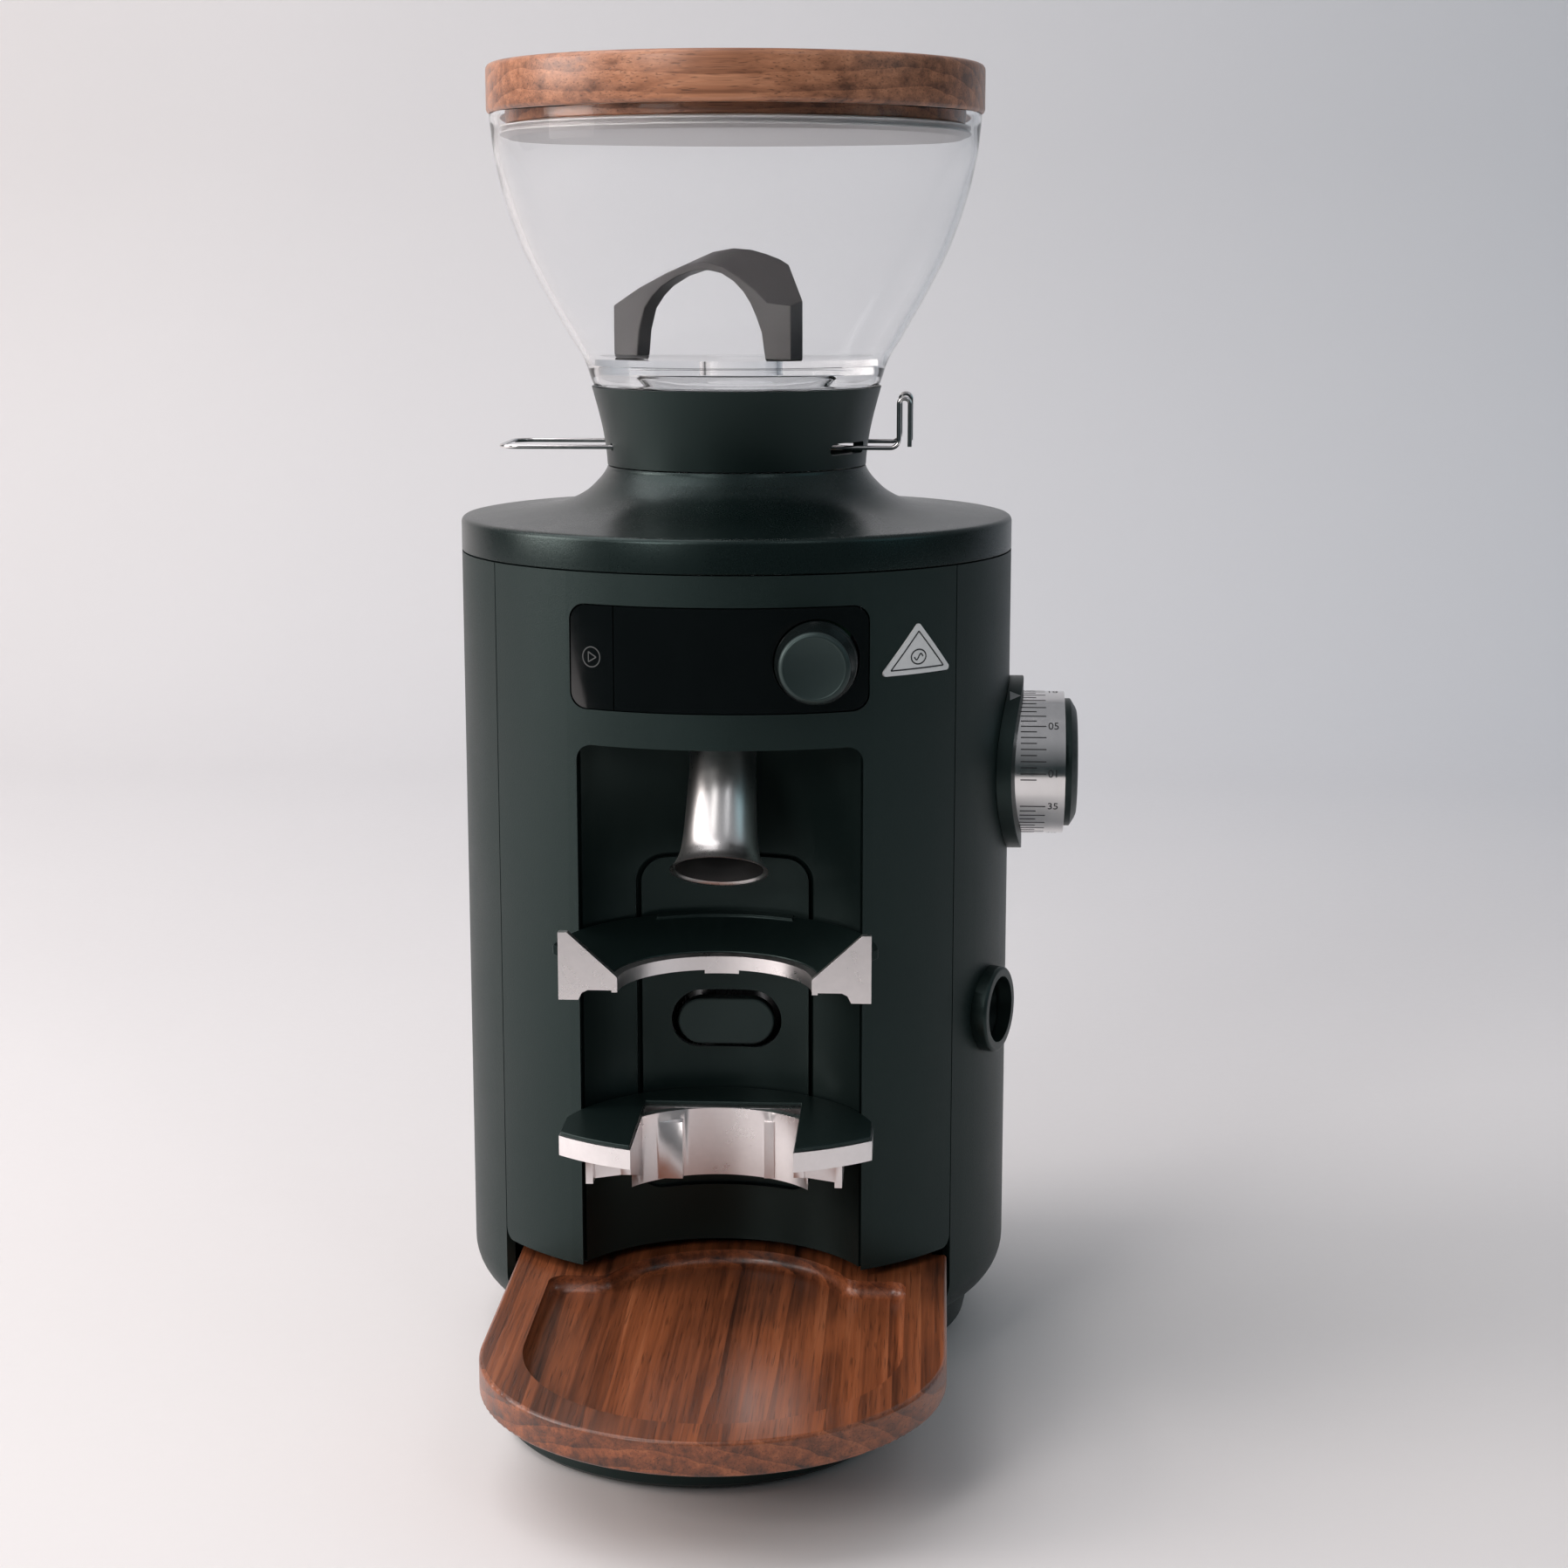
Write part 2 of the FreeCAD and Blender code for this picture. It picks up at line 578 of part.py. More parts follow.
def arch_shape():
    """The side view of the arch, and a plan outline that is widest at the crown."""
    def corner(x, z):
        return Vector(x, 0, z)
    under = Part.BSplineCurve()
    under.interpolate([corner(*p) for p in arch_under])
    outer = [corner(-23.3, 0), corner(-36, 0)] + [corner(*p) for p in arch_over] + [
        corner(35, 0), corner(22, 0)]
    lines = [Part.makeLine(outer[i], outer[i + 1]) for i in range(len(outer) - 1)]
    side = Part.Face(Part.Wire(lines + [under.toShape()])).extrude(Vector(0, 30, 0))
    side.translate(Vector(0, -15, 0))
    plan = []
    for sign in (-1, 1):
        pts = [(-38, 3.2), (-22, 4.2), (2, 6.5), (22, 5.2), (38, 3.2)]
        curve = Part.BSplineCurve()
        curve.interpolate([Vector(x, sign * y, -1) for x, y in pts])
        plan.append(curve.toShape())
    ends = [Part.makeLine(Vector(x, -3.2, -1), Vector(x, 3.2, -1)) for x in (-38, 38)]
    wire = Part.Wire(Part.__sortEdges__(plan + ends))
    return side.common(Part.Face(wire).extrude(Vector(0, 0, 60))).removeSplitter()


handle = doc.addObject("Part::Feature", "gate_handle")
handle.Shape = arch_shape()
handle.Placement = Placement(Vector(-9, -4, float(gate_face)), Rotation(Vector(0, 0, 1), -33))
keep("gate_handle", handle)

# ================================================================ hopper clip, bent wire
w_y, w_z = float(S["wire_half"]), float(S["wire_up"])


def bent(points, radii):
    """A line of straight runs with a rounded corner at each inner point."""
    edges, last = [], points[0]
    for i in range(1, len(points) - 1):
        a, b, c = points[i - 1], points[i], points[i + 1]
        into, out = (b - a).normalize(), (c - b).normalize()
        angle = into.getAngle(out)
        reach = radii[i - 1] * math.tan(angle / 2)
        p, q = b - into * reach, b + out * reach
        mid = b + (out - into).normalize() * (radii[i - 1] / math.cos(angle / 2) - radii[i - 1])
        if (p - last).Length > 1e-6:
            edges.append(Part.makeLine(last, p))
        edges.append(Part.Arc(p, mid, q).toShape())
        last = q
    edges.append(Part.makeLine(last, points[-1]))
    return Part.Wire(edges)


half_run = [Vector(55.4, w_y, w_z + 0.4), Vector(55.4, w_y, w_z + 15.4), Vector(52, w_y, w_z + 15.4),
            Vector(52, w_y, w_z), Vector(-74, w_y, w_z)]
other = [Vector(p.x, -p.y, p.z) for p in reversed(half_run)]
route = bent(half_run + other, [1.65, 1.65, 2.6, 6, 6, 2.6, 1.65, 1.65])
start = route.Vertexes[0].Point
ring = Part.Wire(Part.makeCircle(float(S["wire_rad"]), start, Vector(0, 0, 1)))
clip = doc.addObject("Part::Feature", "hopper_clip")
clip.Shape = route.makePipeShell([ring], True, False)
keep("hopper_clip", clip)

# ================================================================ display, keys, knob, badge
half = S["disp_half"]
disp_skin = tube("disp_skin", R_OUT - 0.3, R_OUT - 2.8, S["disp_high"] - S["disp_low"],
                 (0, 0, S["disp_low"]))
disp_win = window("disp_win", half, S["disp_low"], S["disp_high"], -100, -60)
key_win = box("key_win", -60, S["key_edge"], -100, -60, S["disp_low"] - 1, S["disp_high"] + 1)
disp_win2 = window("disp_win2", half, S["disp_low"], S["disp_high"], -100, -60)
disp_skin2 = tube("disp_skin2", R_OUT - 0.35, R_OUT - 2.8, S["disp_high"] - S["disp_low"],
                  (0, 0, S["disp_low"]))
KNOB = Rotation(Vector(0, 0, 1), -90) * ALONG_X


def on_knob(out):
    return (S["knob_side"], -out, S["knob_up"])


keep("display_panel", cut("display_panel", common("disp_full", disp_skin, disp_win), key_win,
                          cylinder("knob_well", S["knob_rad"] + 0.5, 24, on_knob(70), KNOB)))
keep("start_key", common("start_key", disp_skin2, disp_win2,
                         box("key_keep", -60, S["key_edge"] - 0.3, -100, -60, S["disp_low"] - 1,
                             S["disp_high"] + 1)))
keep("knob", fuse("knob", cylinder("knob_skirt", S["knob_rad"], 8.2, on_knob(79.6), KNOB),
                  cone("knob_taper", S["knob_rad"], S["knob_face"], 8, on_knob(87.8), KNOB),
                  cone("knob_edge", S["knob_face"], S["knob_face"] - 1.4, 1.3, on_knob(95.8), KNOB)))
keep("knob_stem", cylinder("knob_stem", 3, 4.65, on_knob(74.9), KNOB))
keep("encoder", tube("encoder", 6.3, 3.06, 4.3, on_knob(74.2), KNOB))
keep("control_board", box("control_board", -39, 39, -73.8, -72.2, 211, 251))
board_posts = [box("board_post_%d" % i, x - 2.5, x + 2.5, -72.15, -66, 224, 246)
               for i, x in enumerate((-30, 30))]
keep("board_frame", fuse("board_frame", box("board_bar", -34, 34, -67, -64.5, 222, 248), *board_posts))

# blank badge plate: a rounded triangle that follows the cover
mid_turn, mid_high = 41.9, 233.4
tri = prism("badge_prism", [(-14.3, -7), (14.3, -7), (0, 8.5)], 20)
tri.Placement = Placement(Vector(78 * math.sin(math.radians(mid_turn)),
                                 -78 * math.cos(math.radians(mid_turn)), mid_high),
                          Rotation(Vector(0, 0, 1), mid_turn) * Rotation(Vector(1, 0, 0), 90))
tri = rounded("badge_round", tri, 1, lambda e: abs(e.Length - 20) < 1e-3)
keep("badge_plate", common("badge_plate", tri, tube("badge_skin", R_OUT + 0.55, R_OUT + 0.02, 40,
                                                    (0, 0, 215))))

# ================================================================ grind dial
d_up = S["dial_up"]
ring_blank = common("ring_blank", cylinder("ring_round", S["ring_rad"], 20, (78, 0, d_up), ALONG_X),
                    cylinder("ring_face", R_OUT + S["ring_thick"], 300))
keep("dial_ring", cut("dial_ring", ring_blank, cylinder("ring_body", R_OUT + 0.02, 300),
                      cylinder("ring_well", S["dial_rad"] + 0.35, 30, (70, 0, d_up), ALONG_X)))
keep("dial_scale", tube("dial_scale", S["dial_rad"], 20.5, 17, (88.6, 0, d_up), ALONG_X))
cap_blank = fuse("dial_cap_blank", cylinder("cap_hub", 20.45, 17.2, (88.9, 0, d_up), ALONG_X),
                 cylinder("cap_disc", 20.65, 2.05, (105.65, 0, d_up), ALONG_X),
                 cone("cap_edge", 20.65, 18.1, 1.6, (107.7, 0, d_up), ALONG_X),
                 cone("cap_crown", 18.1, 16.9, 0.5, (109.3, 0, d_up), ALONG_X))
cap_hollow = cylinder("cap_hollow", 18, 14, (88, 0, d_up), ALONG_X)
cap_boss = cylinder("cap_boss", 8, 13, (90.4, 0, d_up), ALONG_X)
keep("dial_cap", cut("dial_cap", fuse("dial_cap_all", cut("cap_shelled", cap_blank, cap_hollow), cap_boss),
                     cylinder("cap_bore", 4, 18.3, (88, 0, d_up), ALONG_X)))
keep("dial_shaft", fuse("dial_shaft", cylinder("shaft_rod", 3.95, 33.8, (72.2, 0, d_up), ALONG_X),
                        cone("bevel_a", 4.8, 10.2, 5.4, (67, 0, d_up), ALONG_X)))
lay = S["lay_out"]
keep("lay_shaft", fuse("lay_shaft", cylinder("lay_rod", 3, 55.9, (lay, 0, d_up + 6)),
                       cone("bevel_b", 4.8, 10.2, 5.4, (lay, 0, d_up + 5)),
                       tube("lay_gear", S["lay_gear"], 2.5, 5, (lay, 0, 244))))

# ================================================================ motor, deck, posts
keep("deck", cut("deck", cylinder("deck_plate", R_IN - 0.3, S["deck_thick"], (0, 0, S["deck_up"])),
                 cylinder("deck_niche", n_rad + S["liner"] + 0.3, 20, (0, n_y, S["deck_up"] - 5)),
                 cylinder("deck_bore", 11, 20, (0, 0, S["deck_up"] - 5))))
post_spots = [(-60, -22), (60, -22), (-48, 50), (48, 50)]
posts = [cylinder("post_%d" % i, 4.5, S["deck_up"] - S["shell_low"], (x, y, S["shell_low"]))
         for i, (x, y) in enumerate(post_spots)]
board_clips = [box("board_clip_%d" % i, x - 3, x + 3, 56, 59.95, 70, 149.9) for i, x in enumerate((-30, 30))]
keep("posts", group("posts", posts + board_clips))
m_low, m_rad = S["motor_low"], S["motor_rad"]
motor_top = S["deck_up"]
keep("motor_housing", cut("motor_housing", cylinder("motor_can", m_rad, motor_top - m_low, (0, 0, m_low)),
                          cylinder("motor_room", m_rad - 2.5, motor_top - m_low - 8, (0, 0, m_low + 4)),
                          cylinder("motor_bore", 9, 200, (0, 0, m_low - 2))))
keep("stator", tube("stator", m_rad - 2.55, 26.2, 54, (0, 0, m_low + 16)))
s_rad = S["shaft_rad"]
keep("rotor", fuse("rotor", cylinder("rotor_core", 25.6, 54, (0, 0, m_low + 16)),
                   cylinder("rotor_rod", s_rad, 160.4, (0, 0, m_low - 4))))
keep("bearings", group("bearings", [tube("bearing_0", 8.95, s_rad + 0.03, 6.6, (0, 0, m_low - 3)),
                                    tube("bearing_1", 8.95, s_rad + 0.03, 6.6, (0, 0, motor_top - 4)),
                                    tube("bearing_2", 8.95, s_rad + 0.03, 6.6, (0, 0, 197.6))]))

# ================================================================ burr chamber
c_low, c_top, c_rad = S["chamber_low"], S["chamber_top"], S["chamber_rad"]
chamber = cut("chamber_cup", cylinder("chamber_blank", c_rad, c_top - c_low, (0, 0, c_low)),
              cylinder("chamber_room", 33, c_top - c_low, (0, 0, c_low + 4)),
              cylinder("chamber_bore", 9, 40, (0, 0, c_low - 10)))
chute_tool = cylinder("chute_tool", 9.4, 60, spout_pos, spout_axis)
stand = cut("stand", cylinder("stand_wall", 36, c_low - 155, (0, 0, 155)),
            cylinder("stand_room", 32, c_low - 163, (0, 0, 154)),
            cylinder("stand_bore", 9, 80, (0, 0, 150)),
            *[box("stand_gap_%d" % i, x - 11, x + 11, y - 11, y + 11, 162, 190)
              for i, (x, y) in enumerate(((0, 34), (34, 0), (-34, 0)))])
keep("chamber_stand", stand)


def on_spout(along):
    return (0, -S["spout_out"] + sin_of(S["spout_lean"]) * along,
            S["spout_up"] + cos_of(S["spout_lean"]) * along)


exit_cut = cylinder("exit_cut", 12.6, 54, on_spout(46), spout_axis)
keep("burr_chamber", cut("burr_chamber", chamber, exit_cut))
chute_pipe = cut("chute_pipe", cylinder("chute_outer", 12.4, 34, on_spout(46.4), spout_axis),
                 cylinder("chute_inner", 9.4, 40, on_spout(44), spout_axis))
keep("chute", cut("chute", chute_pipe, cylinder("chute_trim", 33.4, 60, (0, 0, c_low)),
                  box("chute_floor", -20, 20, -80, -20, 200, S["niche_top"] + 2.1)))

lower_face = S["burr_gap_up"]
b_rad, b_th = S["burr_rad"], S["burr_thick"]
keep("burr_hub", fuse("burr_hub",
                      tube("hub_disc", b_rad + 1, s_rad, 4.2, (0, 0, lower_face - b_th - 4.2)),
                      *[box("sweeper_%d" % i, *span) for i, span in enumerate(
                          ((b_rad + 0.3, b_rad + 4.6, -2, 2, lower_face - b_th - 4, lower_face - 6),
                           (-b_rad - 4.6, -0.3 - b_rad, -2, 2, lower_face - b_th - 4, lower_face - 6)))]))


def toothed(name, z, up):
    """A flat burr: a ring whose working face carries raked cutting grooves."""
    ring_ = tube(name + "_ring", b_rad, 14, b_th, (0, 0, z))
    level = float(z) + (float(b_th) if up else 0)
    tools = []
    for i in range(18):
        bar = doc.addObject("Part::Box", "%s_groove_%d" % (name, i))
        bar.Length, bar.Width, bar.Height = 15, 1.6, 1.8
        turn = Rotation(Vector(0, 0, 1), 20 * i)
        bar.Placement = Placement(turn.multVec(Vector(13.5, 4, 0)) + Vector(0, 0, level - 0.9), turn)
        tools.append(bar)
    return cut(name, ring_, *tools)


keep("lower_burr", toothed("lower_burr", lower_face - b_th, True))
keep("upper_burr", toothed("upper_burr", lower_face + 0.9, False))
carrier_low = lower_face + 0.9 + b_th
t_rad = S["thread_rad"]
carrier = cut("burr_carrier_cut", fuse(
    "carrier_all", cylinder("carrier_disc", 32.6, 6, (0, 0, carrier_low)),
    cylinder("carrier_neck", t_rad - 4, 20, (0, 0, carrier_low)),
    cylinder("carrier_thread", t_rad - EPS, 8, (0, 0, 244))),
    cylinder("carrier_bore", 14, 60, (0, 0, carrier_low - 2)),
    *[cylinder("carrier_hole_%d" % i, 2.5, 30, (20.5 * math.cos(math.radians(a)),
                                                20.5 * math.sin(math.radians(a)), carrier_low + 5.9))
      for i, a in enumerate((30, 150, 270))],
    cone("carrier_funnel", 14, 24, 14, (0, 0, 240.2)))
keep("burr_carrier", carrier)
keep("adjust_ring", cut("adjust_ring_cut", cylinder("adjust_blank", S["ring_gear"], 6,
                                                   (0, 0, c_top + EPS)),
                        cylinder("adjust_bore", t_rad, 20, (0, 0, c_top - 5))))
keep("burr_screws", group("burr_screws", [
    cylinder("burr_screw_%d" % i, 2.2, 4.0, (20.5 * math.cos(math.radians(a)),
                                              20.5 * math.sin(math.radians(a)), carrier_low + 6.05))
    for i, a in enumerate((30, 150, 270))]))

# ================================================================ spout
lean = S["spout_lean"]
keep("spout", spun("spout", [
    [(14, 0.1), (12.8, 1.4), (11.8, 3.3), (10.8, 6.5), (10.1, 13), (9.6, 22), (9.1, 34), (9, 46)],
    [(9, 46), (10, 46)],
    [(10, 46), (10.1, 34), (10.6, 22), (11.1, 13), (11.8, 6.5), (12.8, 3.3), (13.8, 1.4),
     (S["spout_rad"], 0)],
    [(S["spout_rad"], 0), (14, 0.1)]], spout_pos, spout_axis))

# ================================================================ sliding fork
f_y = -S["fork_front"]
panel_ring = tube("panel_ring", n_rad + 2, n_rad + 0.12, S["panel_top"] - S["panel_low"],
                  (0, n_y, S["panel_low"]))
panel_win = window("panel_win", S["panel_half"], S["panel_low"], S["panel_top"], -60, -30, 7)
b_up = S["button_up"]


def oval(name, half_w, half_h, y0, y1):
    return window(name, half_w, b_up - half_h, b_up + half_h, y0, y1, half_h - 0.02)


keep("slide_panel", cut("slide_panel", common("panel_body", panel_ring, panel_win),
                        oval("button_well", 17.2, 9.2, -60, -30)))
keep("release_button", cut("release_button_cut", oval("button_blank", 15.1, 7.5, -54.3, -49.4),
                           cylinder("button_bore", 2.2, 6, (0, -52.5, b_up), ALONG_Y)))

dish = spun("dish_cone", [
    [(30.6, 140.8), (48.3, S["fork_up"])], [(48.3, S["fork_up"]), (48.3, S["fork_up"] - 3)],
    [(48.3, S["fork_up"] - 3), (30.6, 138)], [(30.6, 138), (30.6, 140.8)]], (0, f_y, 0), None, 180, 0)
dish_trim = box("dish_trim", -60, 60, f_y - 1, f_y + 2.9, 120, 170)
mount_block = common("dish_mount", tube("dish_mount_ring", n_rad + 0.05, 45.5, 10, (0, n_y, 140)),
                     box("dish_mount_box", -21, 21, -62, -40, 138, 149))
keep("upper_fork", fuse("upper_fork", cut("dish_cut", dish, dish_trim), mount_block))
wings = []
fh = S["fork_half"]
for side in (-1, 1):
    outline = [(28.9, 137.9), (37.2, 136.2), (39.3, 135.2), (40.4, 133), (fh, 133), (fh, 153.4),
               (43.6, 153.4), (28.9, 140)]
    pts = [(side * float(x), z) for x, z in outline]
    wing = prism("wing_%d" % side, pts if side < 0 else pts[::-1], 2.9,
                 (0, f_y + 2.9, 0), Rotation(Vector(1, 0, 0), 90))
    wings.append(wing)
lip_ring = spun("lip_ring", [
    [(28.8, 135.4), (30.5, 135.4)], [(30.5, 135.4), (30.5, 140.4)], [(30.5, 140.4), (28.8, 139.6)],
    [(28.8, 139.6), (28.8, 135.4)]], (0, f_y, 0), None, 180, 0)
under = spun("under_ring", [
    [(30, 136), (41, 136)], [(41, 136), (41, 138)], [(41, 138), (30, 138)],
    [(30, 138), (30, 136)]], (0, f_y, 0), None, 180, 0)
tab = common("lip_tab", tube("lip_tab_ring", 30.4, 29.2, 2.2, (0, f_y, 134.2)),
             box("lip_tab_box", -5.2, 5.2, -76, -66, 133, 137))
keep("fork_bracket", fuse("fork_bracket", lip_ring, under, tab, *wings))
keep("fork_screws", group("fork_screws", [
    cylinder("fork_screw_%d" % i, 2.6, 1.6, (x, y, 134.35)) for i, (x, y) in enumerate(
        ((-31, -82), (31, -82)))]))

# ================================================================ fixed lower fork
c_up = S["cradle_up"]
c_half, c_gap, c_round = S["cradle_half"], S["cradle_gap"], S["cradle_round"]
front_y = c_round - 117
lens = common("cradle_lens", cylinder("lens_back", n_rad - 0.9, 6, (0, n_y, c_up - 6)),
              cylinder("lens_front", c_round, 6, (0, front_y, c_up - 6)),
              box("lens_side", -c_half, c_half, -140, -40, c_up - 10, c_up + 10))
notch = box("cradle_notch", -c_gap, c_gap, -140, -69, 40, 120)
walls = [prism("cradle_wall_%d" % i, [(-111.5, c_up - 8), (-111.5, c_up), (-66, c_up), (-66, 69.8),
                                      (-72, 69.8)], 3,
               (x, 0, 0), Rotation(Vector(0, 0, 1), 90) * Rotation(Vector(1, 0, 0), 90))
         for i, x in enumerate((-c_gap - 3, c_gap))]
back_wall = common("cradle_back", tube("cradle_back_ring", 36, 33, c_up - 69.7, (0, -102, 69.6)),
                   box("cradle_back_box", -c_gap - 2.9, c_gap + 2.9, -90, -60, 60, 110))
back_ribs = [box("cradle_rib_%d" % i, x0, x1, y0, -67, 70, c_up - 3)
             for i, (x0, x1, y0) in enumerate(((-20.3, -12, -75.2), (13, 16, -73.6)))]
legs = [box("cradle_leg_%d" % i, x - 1.1, x + 1.1, -106, -80, 78.2, c_up - 5.5)
        for i, x in enumerate((-37, 37))]
legs += [box("cradle_foot_%d" % i, x - 4, x + 4, -80, -56.5, 80, c_up - 5.5)
         for i, x in enumerate((-37, 37))]
webs = [prism("cradle_web_%d" % side, [(side * x, z) for x, z in
                                       ((37, 84), (37, 78.2), (25, 80), (25, 84))][::side * -1], 1.2,
              (0, -100, 0), Rotation(Vector(1, 0, 0), 90)) for side in (-1, 1)]
webs += [box("cradle_web_top_%d" % side, min(side * 25, side * 37), max(side * 25, side * 37), -101.2, -100,
             83.9, c_up - 5.5) for side in (-1, 1)]
foot_pad = common("cradle_feet", cylinder("feet_reach", n_rad - 0.05, 16, (0, n_y, 78.2)),
                  fuse("feet_all", *legs))
keep("lower_fork", fuse("lower_fork", cut("cradle_plate", lens, notch), *walls, back_wall, *back_ribs,
                        foot_pad, *webs))
top_lens = common("cap_lens", cylinder("cap_lens_back", n_rad - 1, 1.3, (0, n_y, c_up)),
                  cylinder("cap_lens_front", c_round - 0.4, 1.3, (0, front_y, c_up)),
                  box("cap_lens_side", 0.4 - c_half, c_half - 0.4, -140, -40, c_up, c_up + 10))
keep("fork_plate", cut("fork_plate", top_lens, box("plate_notch", 0 - c_gap - 0.3, c_gap + 0.3, -140, -66.6,
                                                   80, 120)))

# ================================================================ power switch
def on_switch(out):
    return (switch_dir[0] * out, switch_dir[1] * out, S["switch_up"])


sw_rad = S["switch_rad"]
sw_blank = cylinder("sw_blank", sw_rad, 12, on_switch(80), SWITCH)
sw_blank = rounded("sw_round", sw_blank, 1.1, lambda e: isinstance(e.Curve, Part.Circle)
                   and (e.Curve.Center - Vector(0, 0, float(S["switch_up"]))).Length > 91)
keep("switch_collar", cut("switch_collar", sw_blank, cylinder("sw_body", R_OUT + 0.02, 300),
                          cylinder("sw_bore", 10.5, 30, on_switch(76), SWITCH)))
keep("switch_frame", cut("switch_frame", cylinder("sw_frame_out", 11.1, 9, on_switch(76.8), SWITCH),
                         cylinder("sw_frame_in", 10.1, 9, on_switch(78.8), SWITCH)))
# the rocker rests tipped to one side about a level axis across the face
pivot = Vector(*[float(p) for p in on_switch(85.4)])
tip = Rotation(Vector(-float(switch_dir[1]), float(switch_dir[0]), 0), -6)
rocker_back = pivot - tip.multVec(SWITCH.multVec(Vector(0, 0, 2.2)))
rocker = rounded("rocker_round", cylinder("rocker_blank", 9.5, 4.4, tuple(rocker_back), tip * SWITCH), 1.2,
                 lambda e: isinstance(e.Curve, Part.Circle))
pin_turn = Rotation(Vector(0, 0, 1), float(S["switch_turn"])) * ALONG_X
pin_back = pivot - pin_turn.multVec(Vector(0, 0, 9.75))
keep("power_rocker", fuse("rocker_all", rocker, cylinder("rocker_pin", 1, 19.5, tuple(pin_back), pin_turn)))

# ================================================================ tray
t_low, t_high = S["tray_low"], S["tray_high"]
t_half, nose = S["tray_half"], -S["tray_nose"]
tray_back = -S["tray_back"]
blank = fuse("tray_blank", box("tray_bar", mid_x - t_half, mid_x + t_half, nose, tray_back, t_low, t_high),
             cylinder("tray_nose", t_half, t_high - t_low, (mid_x, nose, t_low)))
blank = rounded("tray_edge", blank, 1.1, lambda e: at_height(t_high)(e) or at_height(t_low)(e))
floor_z = S["dish_floor"]
scoop = fuse("scoop_blank", box("scoop_bar", mid_x - 55, mid_x + 55, nose, -78, floor_z, t_high + 5),
             cylinder("scoop_nose", 55, t_high + 5 - floor_z, (mid_x, nose, floor_z)),
             cylinder("scoop_back", 40, t_high + 5 - floor_z, (mid_x, -92, floor_z)))
scoop = rounded("scoop_upright", scoop, 5, runs_along((0, 0, 1)))
scoop = rounded("scoop_floor", scoop, 3.2, at_height(floor_z))
tray_groove = box("tray_groove", mid_x - 9.1, mid_x + 9.1, -144, tray_back + 2, t_low - 2, t_low + 2.15)
tray_trim = box("tray_trim", 64.8, mid_x + t_half + 5, -53.3, -30, 20, 45)
keep("tray", cut("tray", blank, scoop, tray_groove, tray_trim))

# ================================================================ rear: inlet, boards, screws
keep("mains_inlet", cut("mains_inlet", box("inlet_block", -14, 14, 66, 86.6, 40.2, 60.8),
                        rounded("inlet_well", box("inlet_well_box", -12, 12, 70, 90, 42.2, 58.8), 2.5,
                                runs_along((0, 1, 0)))))
keep("inlet_pins", group("inlet_pins", [
    box("pin_%d" % i, x - 1, x + 1, 70.02, 84, z - 2, z + 2) for i, (x, z) in enumerate(
        ((-7, 48.5), (7, 48.5), (0, 52.5)))]))
keep("power_board", box("power_board", -36, 36, 60, 61.6, 66, 140))
keep("board_parts", group("board_parts", [
    cylinder("capacitor", 8, 30, (-20, 70.2, 98)), box("transformer", 2, 28, 61.65, 74, 92, 116),
    box("relay", -12, 4, 61.65, 72, 72, 86)]))
keep("rear_screws", group("rear_screws", [
    cylinder("rear_screw_%d" % i, 3.2, 1.2, (R_OUT * math.sin(math.radians(a)) * 1.0004,
                                             R_OUT * math.cos(math.radians(a)) * 1.0004, z),
             Rotation(Vector(0, 0, 1), -a) * ALONG_Y)
    for i, (a, z) in enumerate(((-27, 240), (27, 240), (-27, 60), (27, 60)))]))

# ================================================================ checks and export
doc.recompute()
bad = []
for obj in doc.Objects:
    if "Invalid" in obj.State or "Error" in obj.State:
        bad.append("%s: %s" % (obj.Name, obj.State))
for node, obj in NODES.items():
    shape = obj.Shape
    if shape.isNull() or not shape.isValid() or not shape.Solids:
        bad.append("%s: empty or broken shape" % node)
    elif shape.Volume <= 0:
        bad.append("%s: volume %.1f" % (node, shape.Volume))
if bad:
    sys.exit("\n".join(bad))
for node, obj in NODES.items():
    obj.Shape.exportStep("parts/%s.step" % node)
    b = obj.Shape.BoundBox
    print("%-16s solids %d vol %10.1f  x %.1f..%.1f y %.1f..%.1f z %.1f..%.1f" % (
        node, len(obj.Shape.Solids), obj.Shape.Volume, b.XMin, b.XMax, b.YMin, b.YMax, b.ZMin, b.ZMax))
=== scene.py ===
"""Looks of the burr coffee grinder: materials, detailed meshes, light and camera."""
import json
import math

import bmesh
import bpy
from mathutils import Matrix, Vector


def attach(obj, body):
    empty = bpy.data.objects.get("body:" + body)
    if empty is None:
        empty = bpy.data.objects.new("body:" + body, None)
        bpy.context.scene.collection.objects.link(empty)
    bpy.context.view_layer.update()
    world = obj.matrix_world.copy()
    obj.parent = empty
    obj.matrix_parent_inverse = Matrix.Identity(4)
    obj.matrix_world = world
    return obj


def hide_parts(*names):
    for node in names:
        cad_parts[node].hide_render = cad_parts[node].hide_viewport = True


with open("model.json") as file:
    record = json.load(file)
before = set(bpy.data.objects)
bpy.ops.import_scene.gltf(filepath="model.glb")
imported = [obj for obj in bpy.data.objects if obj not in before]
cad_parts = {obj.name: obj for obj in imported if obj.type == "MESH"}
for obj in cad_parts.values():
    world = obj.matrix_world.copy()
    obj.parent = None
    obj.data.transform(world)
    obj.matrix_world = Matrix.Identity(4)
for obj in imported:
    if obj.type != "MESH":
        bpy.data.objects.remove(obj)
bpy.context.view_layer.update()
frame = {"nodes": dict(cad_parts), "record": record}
NODES = frame["nodes"]
MM = 0.001

